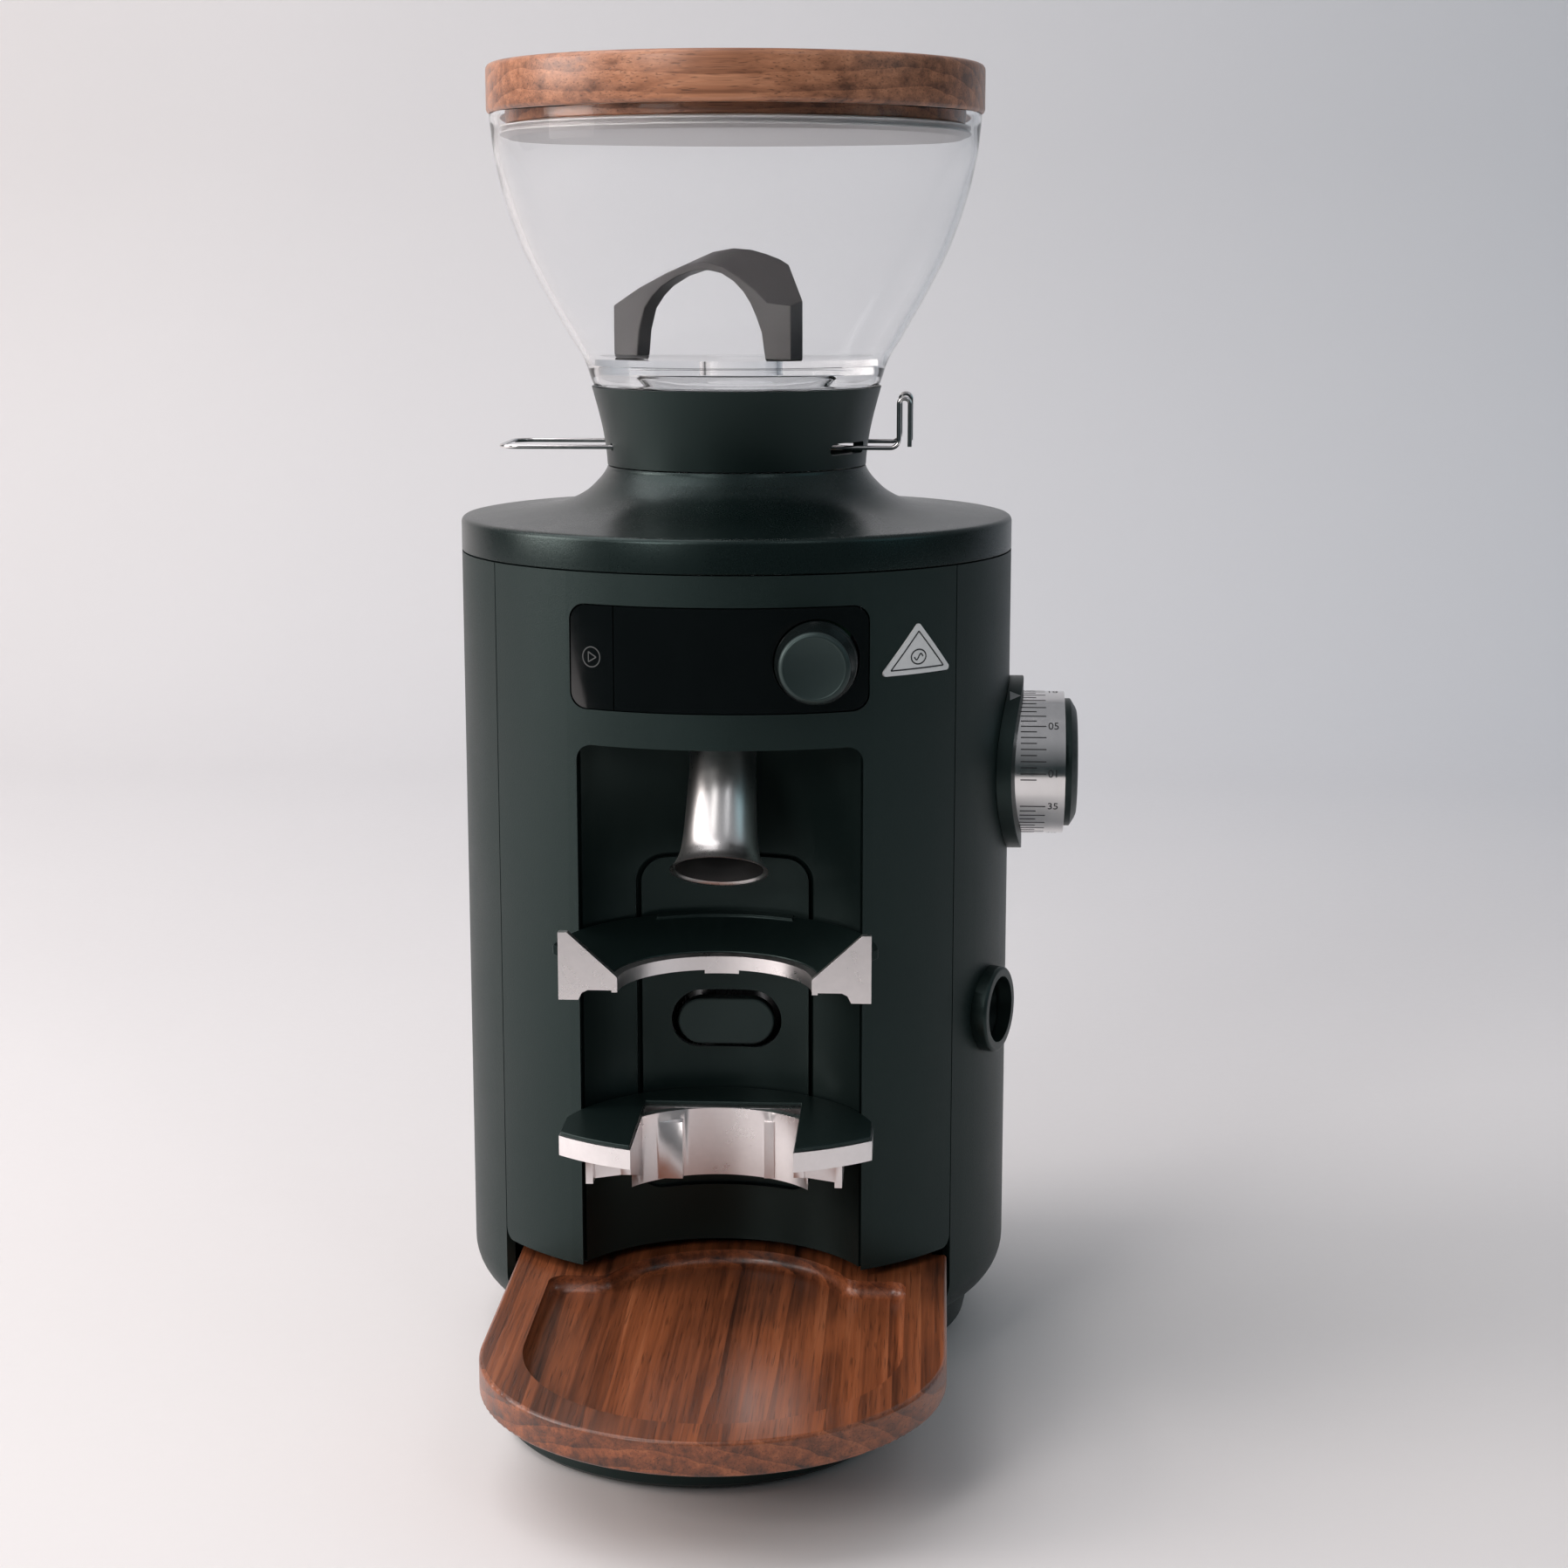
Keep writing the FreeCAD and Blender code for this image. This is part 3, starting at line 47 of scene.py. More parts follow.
# ------------------------------------------------------------ places, all in millimetres
BODY_R, BODY_TOP, CAP_EDGE = 88.0, 258.0, 268.5
NECK_R, NECK_TOP = 41.3, 284.0
RIM, GATE_TOP = 393.0, 318.3
LID_R, LID_TOP, PLUG_R = 77.9, 408.0, 72.0
DIAL_UP, DIAL_R, RING_R = 188.3, 23.0, 28.0
KNOB_SIDE, KNOB_UP = 29.2, 232.0
BADGE_TURN, BADGE_UP = 41.9, 233.4
KEY_TURN, KEY_UP = -25.6, 232.5
SPOUT_Y, SPOUT_UP, SPOUT_LEAN = -80.0, 167.9, 29.3


# ------------------------------------------------------------ materials
class Look:
    """A material under construction: a Principled shader plus the nodes that feed it."""

    def __init__(self, name, colour, rough=0.5, metal=0.0, **fixed):
        self.mat = bpy.data.materials.new(name)
        self.mat.use_nodes = True
        self.tree = self.mat.node_tree
        self.shader = self.tree.nodes["Principled BSDF"]
        self.set(**{"Base Color": (*colour, 1), "Roughness": rough, "Metallic": metal})
        self.set(**{k.replace("_", " "): v for k, v in fixed.items()})
        self.coords = self.node("ShaderNodeTexCoord").outputs["Object"]

    def set(self, **values):
        for key, value in values.items():
            self.shader.inputs[key].default_value = value
        return self

    def node(self, kind, **props):
        made = self.tree.nodes.new(kind)
        for key, value in props.items():
            setattr(made, key, value)
        return made

    def feed(self, socket, source):
        """Gives a socket a number, a colour or another node's output."""
        if hasattr(source, "is_output"):
            self.tree.links.new(source, socket)
        else:
            socket.default_value = source

    def place(self, scale=(1, 1, 1), turn=(0, 0, 0), source=None):
        made = self.node("ShaderNodeMapping")
        self.feed(made.inputs["Vector"], source or self.coords)
        made.inputs["Scale"].default_value = scale
        made.inputs["Rotation"].default_value = turn
        return made.outputs["Vector"]

    def noise(self, scale, detail=3, rough=0.5, bend=0.0, vector=None):
        made = self.node("ShaderNodeTexNoise")
        self.feed(made.inputs["Vector"], vector or self.coords)
        for key, value in (("Scale", scale), ("Detail", detail), ("Roughness", rough),
                           ("Distortion", bend)):
            made.inputs[key].default_value = value
        return made.outputs["Fac"]

    def ramp(self, source, *stops):
        """stops are (place, grey) or (place, colour)."""
        made = self.node("ShaderNodeValToRGB")
        self.feed(made.inputs["Fac"], source)
        points = made.color_ramp.elements
        while len(points) < len(stops):
            points.new(0.5)
        for point, (place, tint) in zip(points, stops):
            point.position = place
            point.color = (*tint, 1) if hasattr(tint, "__len__") else (tint, tint, tint, 1)
        return made.outputs["Color"]

    def math(self, kind, a, b=0.0):
        made = self.node("ShaderNodeMath", operation=kind)
        self.feed(made.inputs[0], a)
        self.feed(made.inputs[1], b)
        return made.outputs[0]

    def clamp(self, source):
        made = self.node("ShaderNodeClamp")
        self.feed(made.inputs["Value"], source)
        return made.outputs[0]

    def blend(self, kind, amount, a, b):
        made = self.node("ShaderNodeMix", data_type="RGBA", blend_type=kind)
        for socket, source in zip([made.inputs[0], made.inputs[6], made.inputs[7]], (amount, a, b)):
            self.feed(socket, (*source, 1) if isinstance(source, tuple) and len(source) == 3
                      else source)
        return made.outputs[2]

    def colour(self, source):
        self.feed(self.shader.inputs["Base Color"], source)
        return self

    def rough(self, source, low, high):
        """Roughness that wanders between low and high."""
        made = self.node("ShaderNodeMapRange")
        self.feed(made.inputs["Value"], source)
        for key, value in (("From Min", 0.3), ("From Max", 0.7), ("To Min", low), ("To Max", high)):
            made.inputs[key].default_value = value
        self.feed(self.shader.inputs["Roughness"], made.outputs[0])
        return self

    def bump(self, height, depth_mm, strength=1.0, under=None):
        made = self.node("ShaderNodeBump")
        made.inputs["Strength"].default_value = strength
        made.inputs["Distance"].default_value = depth_mm * MM
        self.feed(made.inputs["Height"], height)
        if under:
            self.feed(made.inputs["Normal"], under)
        self.feed(self.shader.inputs["Normal"], made.outputs["Normal"])
        return made.outputs["Normal"]


def tinted(look, colour, spread, source):
    """Base colour that varies a little around one colour."""
    dark = tuple(c * (1 - spread) for c in colour)
    pale = tuple(min(c * (1 + spread), 1) for c in colour)
    return look.colour(look.ramp(source, (0.3, dark), (0.7, pale)))


def moulded(name, colour, low, high, grain_mm=0.35, depth=0.02, spread=0.12, **fixed):
    """Moulded or coated surface: a fine grain, patchy gloss and a slight tone change."""
    look = Look(name, colour, (low + high) / 2, **fixed)
    fine = look.noise(1 / (grain_mm * MM), 2)
    broad = look.noise(22, 4, 0.6)
    tinted(look, colour, spread, look.blend("MIX", 0.35, broad, fine))
    look.rough(look.blend("MIX", 0.5, broad, fine), low, high)
    look.bump(fine, depth)
    return look.mat


def metal(name, colour, low, high, grain=(900, 900, 900), depth=0.004, spread=0.06, **fixed):
    """Bare metal with machining or casting marks."""
    look = Look(name, colour, (low + high) / 2, 1.0, **fixed)
    marks = look.noise(1.0, 3, 0.55, vector=look.place(grain))
    broad = look.noise(45, 4, 0.6)
    tinted(look, colour, spread, look.blend("MIX", 0.4, broad, marks))
    look.rough(look.blend("MIX", 0.6, marks, broad), low, high)
    look.bump(marks, depth)
    return look.mat


def walnut(name, along, tones, pith, bands=46, shift=0.0):
    """Oiled walnut: growth rings round a pith line that runs along one axis (0 = X, 1 = Y)."""
    look = Look(name, tones[1], 0.4, Coat_Weight=0.2, Coat_Roughness=0.24)

    def grained(across, with_grain, at=(0, 0, 0)):
        scale = [across] * 3
        scale[along] = with_grain
        made = look.node("ShaderNodeMapping")
        look.feed(made.inputs["Vector"], look.coords)
        made.inputs["Scale"].default_value = scale
        made.inputs["Location"].default_value = [shift - at[i] * scale[i] for i in range(3)]
        return made.outputs["Vector"]

    broad = look.noise(1.0, 3, 0.5, 1.2, grained(24, 5))
    streak = look.noise(1.0, 4, 0.62, 0.9, grained(115, 3.4))
    lines = look.noise(1.0, 3, 0.65, 0.3, grained(420, 6))
    fibre = look.noise(1.0, 2, 0.5, 0.1, grained(1700, 38))
    pores = look.noise(1.0, 1, 0.5, 0.0, grained(2100, 70))
    rings = look.node("ShaderNodeTexWave", wave_type="RINGS", wave_profile="SAW",
                      rings_direction="Y" if along else "X")
    look.feed(rings.inputs["Vector"], grained(bands, bands * 0.045, pith))
    for key, value in (("Scale", 1.0), ("Distortion", 5.5), ("Detail", 3.0), ("Detail Scale", 0.55),
                       ("Detail Roughness", 0.6)):
        rings.inputs[key].default_value = value
    figure = look.blend("MIX", 0.5, broad, streak)
    figure = look.blend("MIX", 0.12, figure, rings.outputs["Fac"])
    figure = look.blend("MIX", 0.30, figure, lines)
    tone = look.ramp(figure, (0.37, tones[0]), (0.46, tones[1]), (0.54, tones[2]), (0.65, tones[3]))
    tone = look.blend("MULTIPLY", 0.45, tone, look.ramp(fibre, (0.3, 0.6), (0.65, 1.0)))
    tone = look.blend("MULTIPLY", 0.55, tone, look.ramp(pores, (0.31, 0.2), (0.40, 1.0)))
    look.colour(tone)
    look.rough(lines, 0.30, 0.44)
    under = look.bump(fibre, 0.015, 0.5)
    look.bump(look.ramp(pores, (0.31, 0.0), (0.40, 1.0)), 0.04, 0.5, under)
    return look.mat


def clear(name, tint, rough, ior=1.16, depth=0.006):
    """Clear moulded plastic: almost smooth, with faint flow waves."""
    look = Look(name, tint, rough, Transmission_Weight=1.0, IOR=ior)
    flow = look.noise(34, 3, 0.5, 0.6)
    scuff = look.noise(420, 3, 0.7)
    look.rough(look.blend("MIX", 0.5, scuff, flow), rough * 0.6, rough * 1.6)
    look.bump(flow, depth, 0.3)
    return look.mat


def shiny_black(name, colour, rough):
    look = Look(name, colour, rough, Coat_Weight=0.3, Coat_Roughness=0.04)
    smear = look.noise(30, 5, 0.65, 0.8)
    tinted(look, colour, 0.2, smear)
    look.rough(smear, rough * 0.6, rough * 1.9)
    look.bump(look.noise(60, 2), 0.01, 0.2)
    return look.mat


def wound_copper(name):
    look = Look(name, (0.62, 0.3, 0.14), 0.35, 1.0)
    strands = look.noise(1.0, 2, vector=look.place((300, 300, 2600)))
    tinted(look, (0.62, 0.3, 0.14), 0.3, strands)
    look.rough(strands, 0.25, 0.5)
    look.bump(strands, 0.15)
    return look.mat


TEAL_SHEEN = (0.74, 1.0, 0.97, 1)
WALNUT_LID = ((0.13, 0.054, 0.031), (0.30, 0.125, 0.067), (0.47, 0.200, 0.105), (0.62, 0.29, 0.16))
WALNUT_TRAY = ((0.042, 0.014, 0.007), (0.150, 0.043, 0.016), (0.28, 0.080, 0.028), (0.42, 0.14, 0.056))

LOOKS = {
    "black_coat": moulded("black_coat", (0.0048, 0.0100, 0.0094), 0.40, 0.52, 0.42, 0.045, 0.16,
                          Specular_Tint=TEAL_SHEEN, Specular_IOR_Level=0.37),
    "black_plastic": moulded("black_plastic", (0.0042, 0.0085, 0.0080), 0.32, 0.46, 0.3, 0.015, 0.12,
                             Specular_Tint=TEAL_SHEEN, Specular_IOR_Level=0.42),
    "gloss_black": shiny_black("gloss_black", (0.0025, 0.0035, 0.0037), 0.06),
    "knob_grey": moulded("knob_grey", (0.013, 0.020, 0.020), 0.34, 0.46, 0.3, 0.015,
                         Specular_Tint=TEAL_SHEEN),
    "walnut": walnut("walnut_lid", 0, WALNUT_LID, (0.02, -0.05, 0.33), 60, 0.31),
    "clear": clear("clear", (0.975, 0.98, 0.985), 0.012),
    "handle_grey": moulded("handle_grey", (0.085, 0.081, 0.083), 0.36, 0.48, 0.4, 0.01),
    "bright_steel": metal("bright_steel", (0.74, 0.73, 0.73), 0.10, 0.2, (500, 500, 90), 0.002),
    "cast_satin": metal("cast_satin", (0.86, 0.82, 0.82), 0.24, 0.36, (260, 260, 260), 0.0015, 0.08),
    "steel": metal("steel", (0.55, 0.55, 0.56), 0.22, 0.36, (1400, 1400, 120), 0.006),
    "cast": metal("cast", (0.46, 0.46, 0.47), 0.42, 0.6, (700, 700, 700), 0.06),
    "board_green": moulded("board_green", (0.012, 0.075, 0.035), 0.3, 0.45, 0.8, 0.03, 0.3),
    "part_grey": moulded("part_grey", (0.06, 0.06, 0.065), 0.4, 0.55, 0.6, 0.02, 0.25),
    "copper": wound_copper("copper"),
    "brass": metal("brass", (0.72, 0.5, 0.22), 0.2, 0.34, (800, 800, 200), 0.006),
    "rubber": moulded("rubber", (0.012, 0.012, 0.012), 0.7, 0.85, 0.5, 0.03),
    "label": moulded("label", (0.74, 0.745, 0.75), 0.28, 0.4, 0.9, 0.004, 0.04),
}
TRAY_WOOD = walnut("walnut_tray", 1, WALNUT_TRAY, (0.015, 0.0, -0.02), 60, 1.7)
SPOUT_STEEL = metal("spout_steel", (0.66, 0.645, 0.64), 0.25, 0.33, (1500, 1500, 160), 0.0006)
CAP_COAT = moulded("cap_coat", (0.0028, 0.0064, 0.0062), 0.24, 0.33, 0.42, 0.03, 0.14,
                   Specular_Tint=TEAL_SHEEN, Specular_IOR_Level=0.42)
KNOB_SIDE_GLOSS = moulded("knob_side_gloss", (0.005, 0.008, 0.008), 0.2, 0.3, 0.3, 0.008)
# painted shade: near-black colour for a lining inside the spout's steel bore
SPOUT_PAINTED_SHADE = moulded("spout_inside_painted_shade", (0.006, 0.006, 0.006), 0.5, 0.65, 0.4, 0.02)
PALE_PLUG = moulded("pale_plug", (0.70, 0.67, 0.67), 0.3, 0.42, 0.7, 0.01, 0.05)
INK = moulded("ink", (0.012, 0.012, 0.014), 0.35, 0.5, 0.2, 0.004, 0.2)
PALE_INK = moulded("pale_ink", (0.62, 0.62, 0.62), 0.4, 0.5, 0.2, 0.004, 0.06)
DIM_INK = moulded("dim_ink", (0.055, 0.060, 0.060), 0.4, 0.5, 0.2, 0.004, 0.1)


def paint(obj, mat):
    obj.data.materials.clear()
    obj.data.materials.append(mat)


for part in frame["record"]["subparts"]:
    paint(NODES[part["node"]], LOOKS[part["material_slot"]])
paint(NODES["tray"], TRAY_WOOD)


# ------------------------------------------------------------ mesh tools
def finish_mesh(name, bm, mat, body, nodes=(), sharp=35):
    """Turns a bmesh in millimetres into a piece that rides on a body."""
    bmesh.ops.recalc_face_normals(bm, faces=bm.faces)
    bmesh.ops.scale(bm, vec=(MM, MM, MM), verts=bm.verts)
    mesh = bpy.data.meshes.new(name)
    bm.to_mesh(mesh)
    bm.free()
    mesh.shade_smooth()
    mesh.set_sharp_from_angle(angle=math.radians(sharp))
    obj = bpy.data.objects.new(name, mesh)
    bpy.context.collection.objects.link(obj)
    paint(obj, mat)
    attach(obj, body)
    if nodes:
        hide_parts(*nodes)
    return obj


def flowing(points, parts=5):
    """A smooth run through (radius, height) points."""
    pts = [Vector(p) for p in points]
    out = []
    for i in range(len(pts) - 1):
        a, b = pts[i], pts[i + 1]
        before = pts[i - 1] if i else a - (b - a)
        after = pts[i + 2] if i + 2 < len(pts) else b + (b - a)
        for k in range(parts):
            t = k / parts
            out.append(0.5 * ((2 * a) + (b - before) * t + (2 * before - 5 * a + 4 * b - after) * t * t
                              + (3 * a - before - 3 * b + after) * t ** 3))
    return [tuple(p) for p in out] + [tuple(points[-1])]


def turned(name, outline, mat, body, nodes=(), steps=192, place=None, sharp=35):
    """A closed outline of (radius, height) turned round Z, then moved by a matrix."""
    bm = bmesh.new()
    rings = []
    for r, z in outline:
        if r < 1e-4:
            rings.append([bm.verts.new((0, 0, z))])
        else:
            rings.append([bm.verts.new((r * math.cos(2 * math.pi * k / steps),
                                        r * math.sin(2 * math.pi * k / steps), z)) for k in range(steps)])
    for a, b in zip(rings, rings[1:] + rings[:1]):
        for k in range(steps):
            n = (k + 1) % steps
            if len(a) == 1 and len(b) == 1:
                break
            if len(a) == 1:
                bm.faces.new((a[0], b[k], b[n]))
            elif len(b) == 1:
                bm.faces.new((a[k], a[n], b[0]))
            else:
                bm.faces.new((a[k], a[n], b[n], b[k]))
    if place:
        bm.transform(place)
    return finish_mesh(name, bm, mat, body, nodes, sharp)


def facing(origin, direction):
    """A matrix that lays +Z along a direction, from an origin."""
    return Matrix.Translation(origin) @ Vector(direction).to_track_quat("Z", "Y").to_matrix().to_4x4()


def ribbon(bm, path, width, thick, wrap):
    """A thin flat line along a path of (across, up), laid on a surface by wrap(across, up, height)."""
    pts = [Vector(p) for p in path]
    rows = []
    for i, p in enumerate(pts):
        step = (pts[min(i + 1, len(pts) - 1)] - pts[max(i - 1, 0)]).normalized()
        side = Vector((-step.y, step.x)) * width / 2
        rows.append([bm.verts.new(wrap(*(p + s), h)) for s in (side, -side) for h in (0, thick)])
    for a, b in zip(rows, rows[1:]):
        for i, j in ((0, 1), (1, 3), (3, 2), (2, 0)):
            bm.faces.new((a[i], a[j], b[j], b[i]))
    for row in (rows[0], rows[-1]):
        bm.faces.new((row[0], row[1], row[3], row[2]))


def lettering(bm, text, height, at, wrap):
    """Numbers laid on a surface, centred on a point (across, up)."""
    data = bpy.data.curves.new("number", "FONT")
    data.body, data.size, data.align_x, data.align_y = text, height, "CENTER", "CENTER"
    obj = bpy.data.objects.new("number", data)
    bpy.context.collection.objects.link(obj)
    bpy.context.view_layer.update()
    mesh = obj.to_mesh()
    spots = [bm.verts.new(wrap(at[0] + v.co.x, at[1] + v.co.y)) for v in mesh.vertices]
    for poly in mesh.polygons:
        try:
            bm.faces.new([spots[i] for i in poly.vertices])
        except ValueError:
            pass
    obj.to_mesh_clear()
    bpy.data.objects.remove(obj)


def on_body(turn):
    """Lays (across, up) on the body's wall round an angle, in degrees right of the front."""
    def wrap(x, z, out):
        a = math.radians(turn) + x / BODY_R
        r = BODY_R + out
        return (r * math.sin(a), -r * math.cos(a), z)
    return wrap


def on_drum(rad):
    """Lays (along the dial's axis, arc length) on a drum round the dial's axis; 0 faces the front."""
    def wrap(x, arc, out):
        a = arc / rad
        r = rad + out
        return (x, -r * math.cos(a), DIAL_UP + r * math.sin(a))
    return wrap


# ------------------------------------------------------------ lid and hopper
turned("walnut_lid_disc", [(0, LID_TOP), (PLUG_R, LID_TOP), (76.5, LID_TOP - 0.05), (77.35, LID_TOP - 0.45),
                           (77.8, LID_TOP - 1.2), (LID_R, LID_TOP - 2), (LID_R, RIM + 1.3),
                           (77.6, RIM + 0.5), (77.0, RIM + 0.05), (72.3, RIM + 0.05), (72, RIM - 0.3),
                           (72, 390.4), (71.6, 390.0), (0, 390.0)],
       LOOKS["walnut"], "lid", ["lid"], 256)
turned("lid_plug", [(0, 389.95), (71.5, 389.95), (72.2, 389.7), (73.9, 389.3), (73.95, 388.9), (72.3, 388.5),
                    (72.1, 387.9), (73.8, 387.5), (73.85, 387.1), (72.2, 386.7), (71.4, 386.1), (70.6, 386),
                    (0, 386)],
       PALE_PLUG, "lid", ["lid_seal"], 256)

bowl_out = [(45.9, 310.4), (48.6, 318), (52.9, 325), (60.3, 338), (67.3, 352), (72.6, 367), (75.6, 380),
            (76.9, RIM - 2.5)]
bowl_in = [(74.7, RIM - 0.4), (74.4, 381), (70.4, 367), (65.1, 352), (58.1, 338), (50.6, 325), (46.9, 318.6)]
turned("hopper_bowl", [(44.1, 309.2), (44.9, 309.25), (45.5, 309.6)] + flowing(bowl_out)
       + [(77.0, RIM - 0.5), (76.8, RIM - 0.05), (75.1, RIM - 0.05)]
       + flowing(bowl_in) + [(46.5, 316.1), (44.1, 316)],
       LOOKS["clear"], "root", ["hopper"], 256)

# bridge handle: sections from the left foot over the crown to the right foot; each gives the inner
# edge, the front crease and the back ridge as (across, depth, up)
HANDLE_AT, HANDLE_TURN = (-9.0, -4.0), -33.0
SECTIONS = [
    ((-26, 0), (-36, 3.2, 0), (-36, 3.2, 0)), ((-25, 8), (-36, 3.2, 8), (-36, 3.2, 8)),
    ((-22.8, 14.9), (-35.9, 3.2, 15.6), (-35.9, 3.2, 16)), ((-19.4, 19), (-30, 3.3, 18.8), (-29, 4, 20)),
    ((-15.6, 22.1), (-25, 3.4, 21.4), (-22.5, 4.8, 23.6)), ((-9.3, 25.2), (-14, 3.5, 26), (-10.5, 6, 29.6)),
    ((-3, 26.9), (-6, 3.6, 28.7), (-2, 6.4, 32.9)), ((2.2, 27.2), (1.7, 3.6, 29.5), (6, 6.5, 34)),
    ((8, 26.1), (8.6, 3.6, 28.1), (13, 6.4, 33.5)), ((12.7, 23.7), (15, 3.5, 24.9), (19, 6.2, 32.2)),
    ((16.4, 20.6), (21.4, 3.4, 20.8), (24.5, 5.8, 30.6)), ((19.2, 17), (26.2, 3.3, 17), (28.2, 5.2, 29)),
    ((21.4, 13), (34.9, 3.2, 16.2), (35, 3.2, 17.6)), ((23.6, 8), (35, 3.2, 8), (35, 3.2, 8)),
    ((25, 0), (35, 3.2, 0), (35, 3.2, 0))]


def handle():
    bm = bmesh.new()
    place = (Matrix.Translation((*HANDLE_AT, GATE_TOP + 0.02))
             @ Matrix.Rotation(math.radians(HANDLE_TURN), 4, "Z"))
    rows = []
    for (xi, zi), (xf, df, zf), (xb, db, zb) in SECTIONS:
        rows.append([bm.verts.new(p) for p in ((xi, -3.2, zi), (xf, -df, zf), (xb, db, zb), (xi, 3.2, zi))])
    for a, b in zip(rows, rows[1:]):
        for i in range(4):
            j = (i + 1) % 4
            bm.faces.new((a[i], a[j], b[j], b[i]))
    for row in (rows[0], rows[-1]):
        bm.faces.new(row)
    bm.transform(place)
    obj = finish_mesh("bridge_handle", bm, LOOKS["handle_grey"], "gate", ["gate_handle"], 24)
    soft = obj.modifiers.new("soft_edges", "BEVEL")
    soft.width, soft.segments, soft.limit_method, soft.angle_limit = 0.45 * MM, 3, "ANGLE", math.radians(24)
    soft.harden_normals = True


handle()

# ------------------------------------------------------------ cap
turned("cap_shell", [(BODY_R - 0.25, BODY_TOP), (BODY_R, BODY_TOP + 0.3), (BODY_R, CAP_EDGE - 1.7),
                     (87.86, CAP_EDGE - 1.05), (87.5, CAP_EDGE - 0.5), (86.95, CAP_EDGE - 0.14)]
       + flowing([(86.3, CAP_EDGE), (76, 269.3), (64, 270.6), (55, 272.5), (48.5, 275.6), (44, 279.7),
                  (NECK_R + 0.6, NECK_TOP - 1.5), (NECK_R, NECK_TOP - 0.2)], 6)
       + [(NECK_R - 0.2, NECK_TOP), (38.3, NECK_TOP), (38.1, 277), (44.5, 272), (56, 268.9), (70, 267),
          (83, 265.6), (85, 264), (85, BODY_TOP)],
       CAP_COAT, "root", ["top_cap"], 256)

# ------------------------------------------------------------ knob, badge, key mark
knob_seat = facing(Vector((KNOB_SIDE, -79.6, KNOB_UP)), Vector((0, -1, 0)))
turned("knob_body", [(0, 0.03), (11.9, 0.03), (12.15, 0.3), (12.15, 7.9), (12.0, 8.15)]
       + [(12.0 - 1.3 * t / 8, 8.15 + 7.7 * t / 8) for t in range(9)] + [(0, 15.85)],
       KNOB_SIDE_GLOSS, "knob", ["knob"], 128, knob_seat)
turned("knob_face", [(0, 15.86), (10.6, 15.86), (10.55, 16.2), (10.2, 16.7), (9.5, 17.22), (9.15, 17.27),
                     (8.9, 17.15), (8.75, 17.1), (0, 17.1)],
       LOOKS["knob_grey"], "knob", steps=128, place=knob_seat)


def oval(wide, high, up, parts):
    """Points round an oval of half-sizes wide and high, centred at a height."""
    turns = [2 * math.pi * t / parts for t in range(parts + 1)]
    return [(wide * math.cos(a), up + high * math.sin(a)) for a in turns]


def straight(a, b, parts):
    """Points along a line, close enough to follow a curved surface."""
    return [(a[0] + (b[0] - a[0]) * t / parts, a[1] + (b[1] - a[1]) * t / parts) for t in range(parts + 1)]


bm = bmesh.new()
wrap = on_body(BADGE_TURN)
edge = [(-10.4, -5.4), (10.4, -5.4), (0, 5.8), (-10.4, -5.4)]
BEAN_UP = -1.9
bean = oval(2.9, 2.2, BEAN_UP, 24)
crease = [(-1.7 + 3.4 * t / 12, BEAN_UP + 0.9 * math.sin((t / 12 - 0.5) * 2 * math.pi)) for t in range(13)]
for path in (*[straight(a, b, 12) for a, b in zip(edge, edge[1:])], bean, crease):
    ribbon(bm, [(x, BADGE_UP + z) for x, z in path], 0.42, 0.05, lambda x, z, h: wrap(x, z, 0.56 + h))
finish_mesh("badge_mark", bm, INK, "root")

bm = bmesh.new()
wrap_key = on_body(KEY_TURN)
key_ring = oval(3.0, 3.0, KEY_UP, 30)
play = [(-1.0, KEY_UP - 1.5), (-1.0, KEY_UP + 1.5), (1.7, KEY_UP), (-1.0, KEY_UP - 1.5)]
for path in (key_ring, *[[a, b] for a, b in zip(play, play[1:])]):
    ribbon(bm, path, 0.35, 0.03, lambda x, z, h: wrap_key(x, z, -0.345 + h))
finish_mesh("key_mark", bm, DIM_INK, "start_key")

# ------------------------------------------------------------ dial scale
UNIT = math.radians(9.75)                    # turn per unit of the scale; 1 faces the front
LAST_UNIT, NUMBER_AT = 35, 101.85
MARK_FROM, HALF_TO, WHOLE_TO = 91.4, 96.5, 99.5
bm = bmesh.new()
drum = on_drum(DIAL_R)
for half in range(2 * LAST_UNIT):
    arc = UNIT * (half / 2 - 0.5) * DIAL_R
    reach = HALF_TO if half % 2 == 0 else WHOLE_TO
    ribbon(bm, [(MARK_FROM, arc), ((MARK_FROM + reach) / 2, arc), (reach, arc)], 0.35, 0.02,
           lambda x, arc, h: drum(x, arc, h + 0.03))
for value in (1, 5, 10, 15, 20, 25, 30, 35):
    lettering(bm, "%02d" % value, 3.6, (NUMBER_AT, UNIT * (value - 1) * DIAL_R),
              lambda x, arc: drum(x, arc, 0.06))
finish_mesh("dial_marks", bm, INK, "dial")
bm = bmesh.new()
rim = on_drum(RING_R)
arrow = math.radians(58) * RING_R
corners = [(87.9, arrow - 2.2), (87.9, arrow + 2.2), (91.4, arrow)]
bm.faces.new([bm.verts.new(rim(x, arc, 0.12)) for x, arc in corners])
bmesh.ops.solidify(bm, geom=list(bm.faces), thickness=0.08)
finish_mesh("dial_index", bm, PALE_INK, "root")

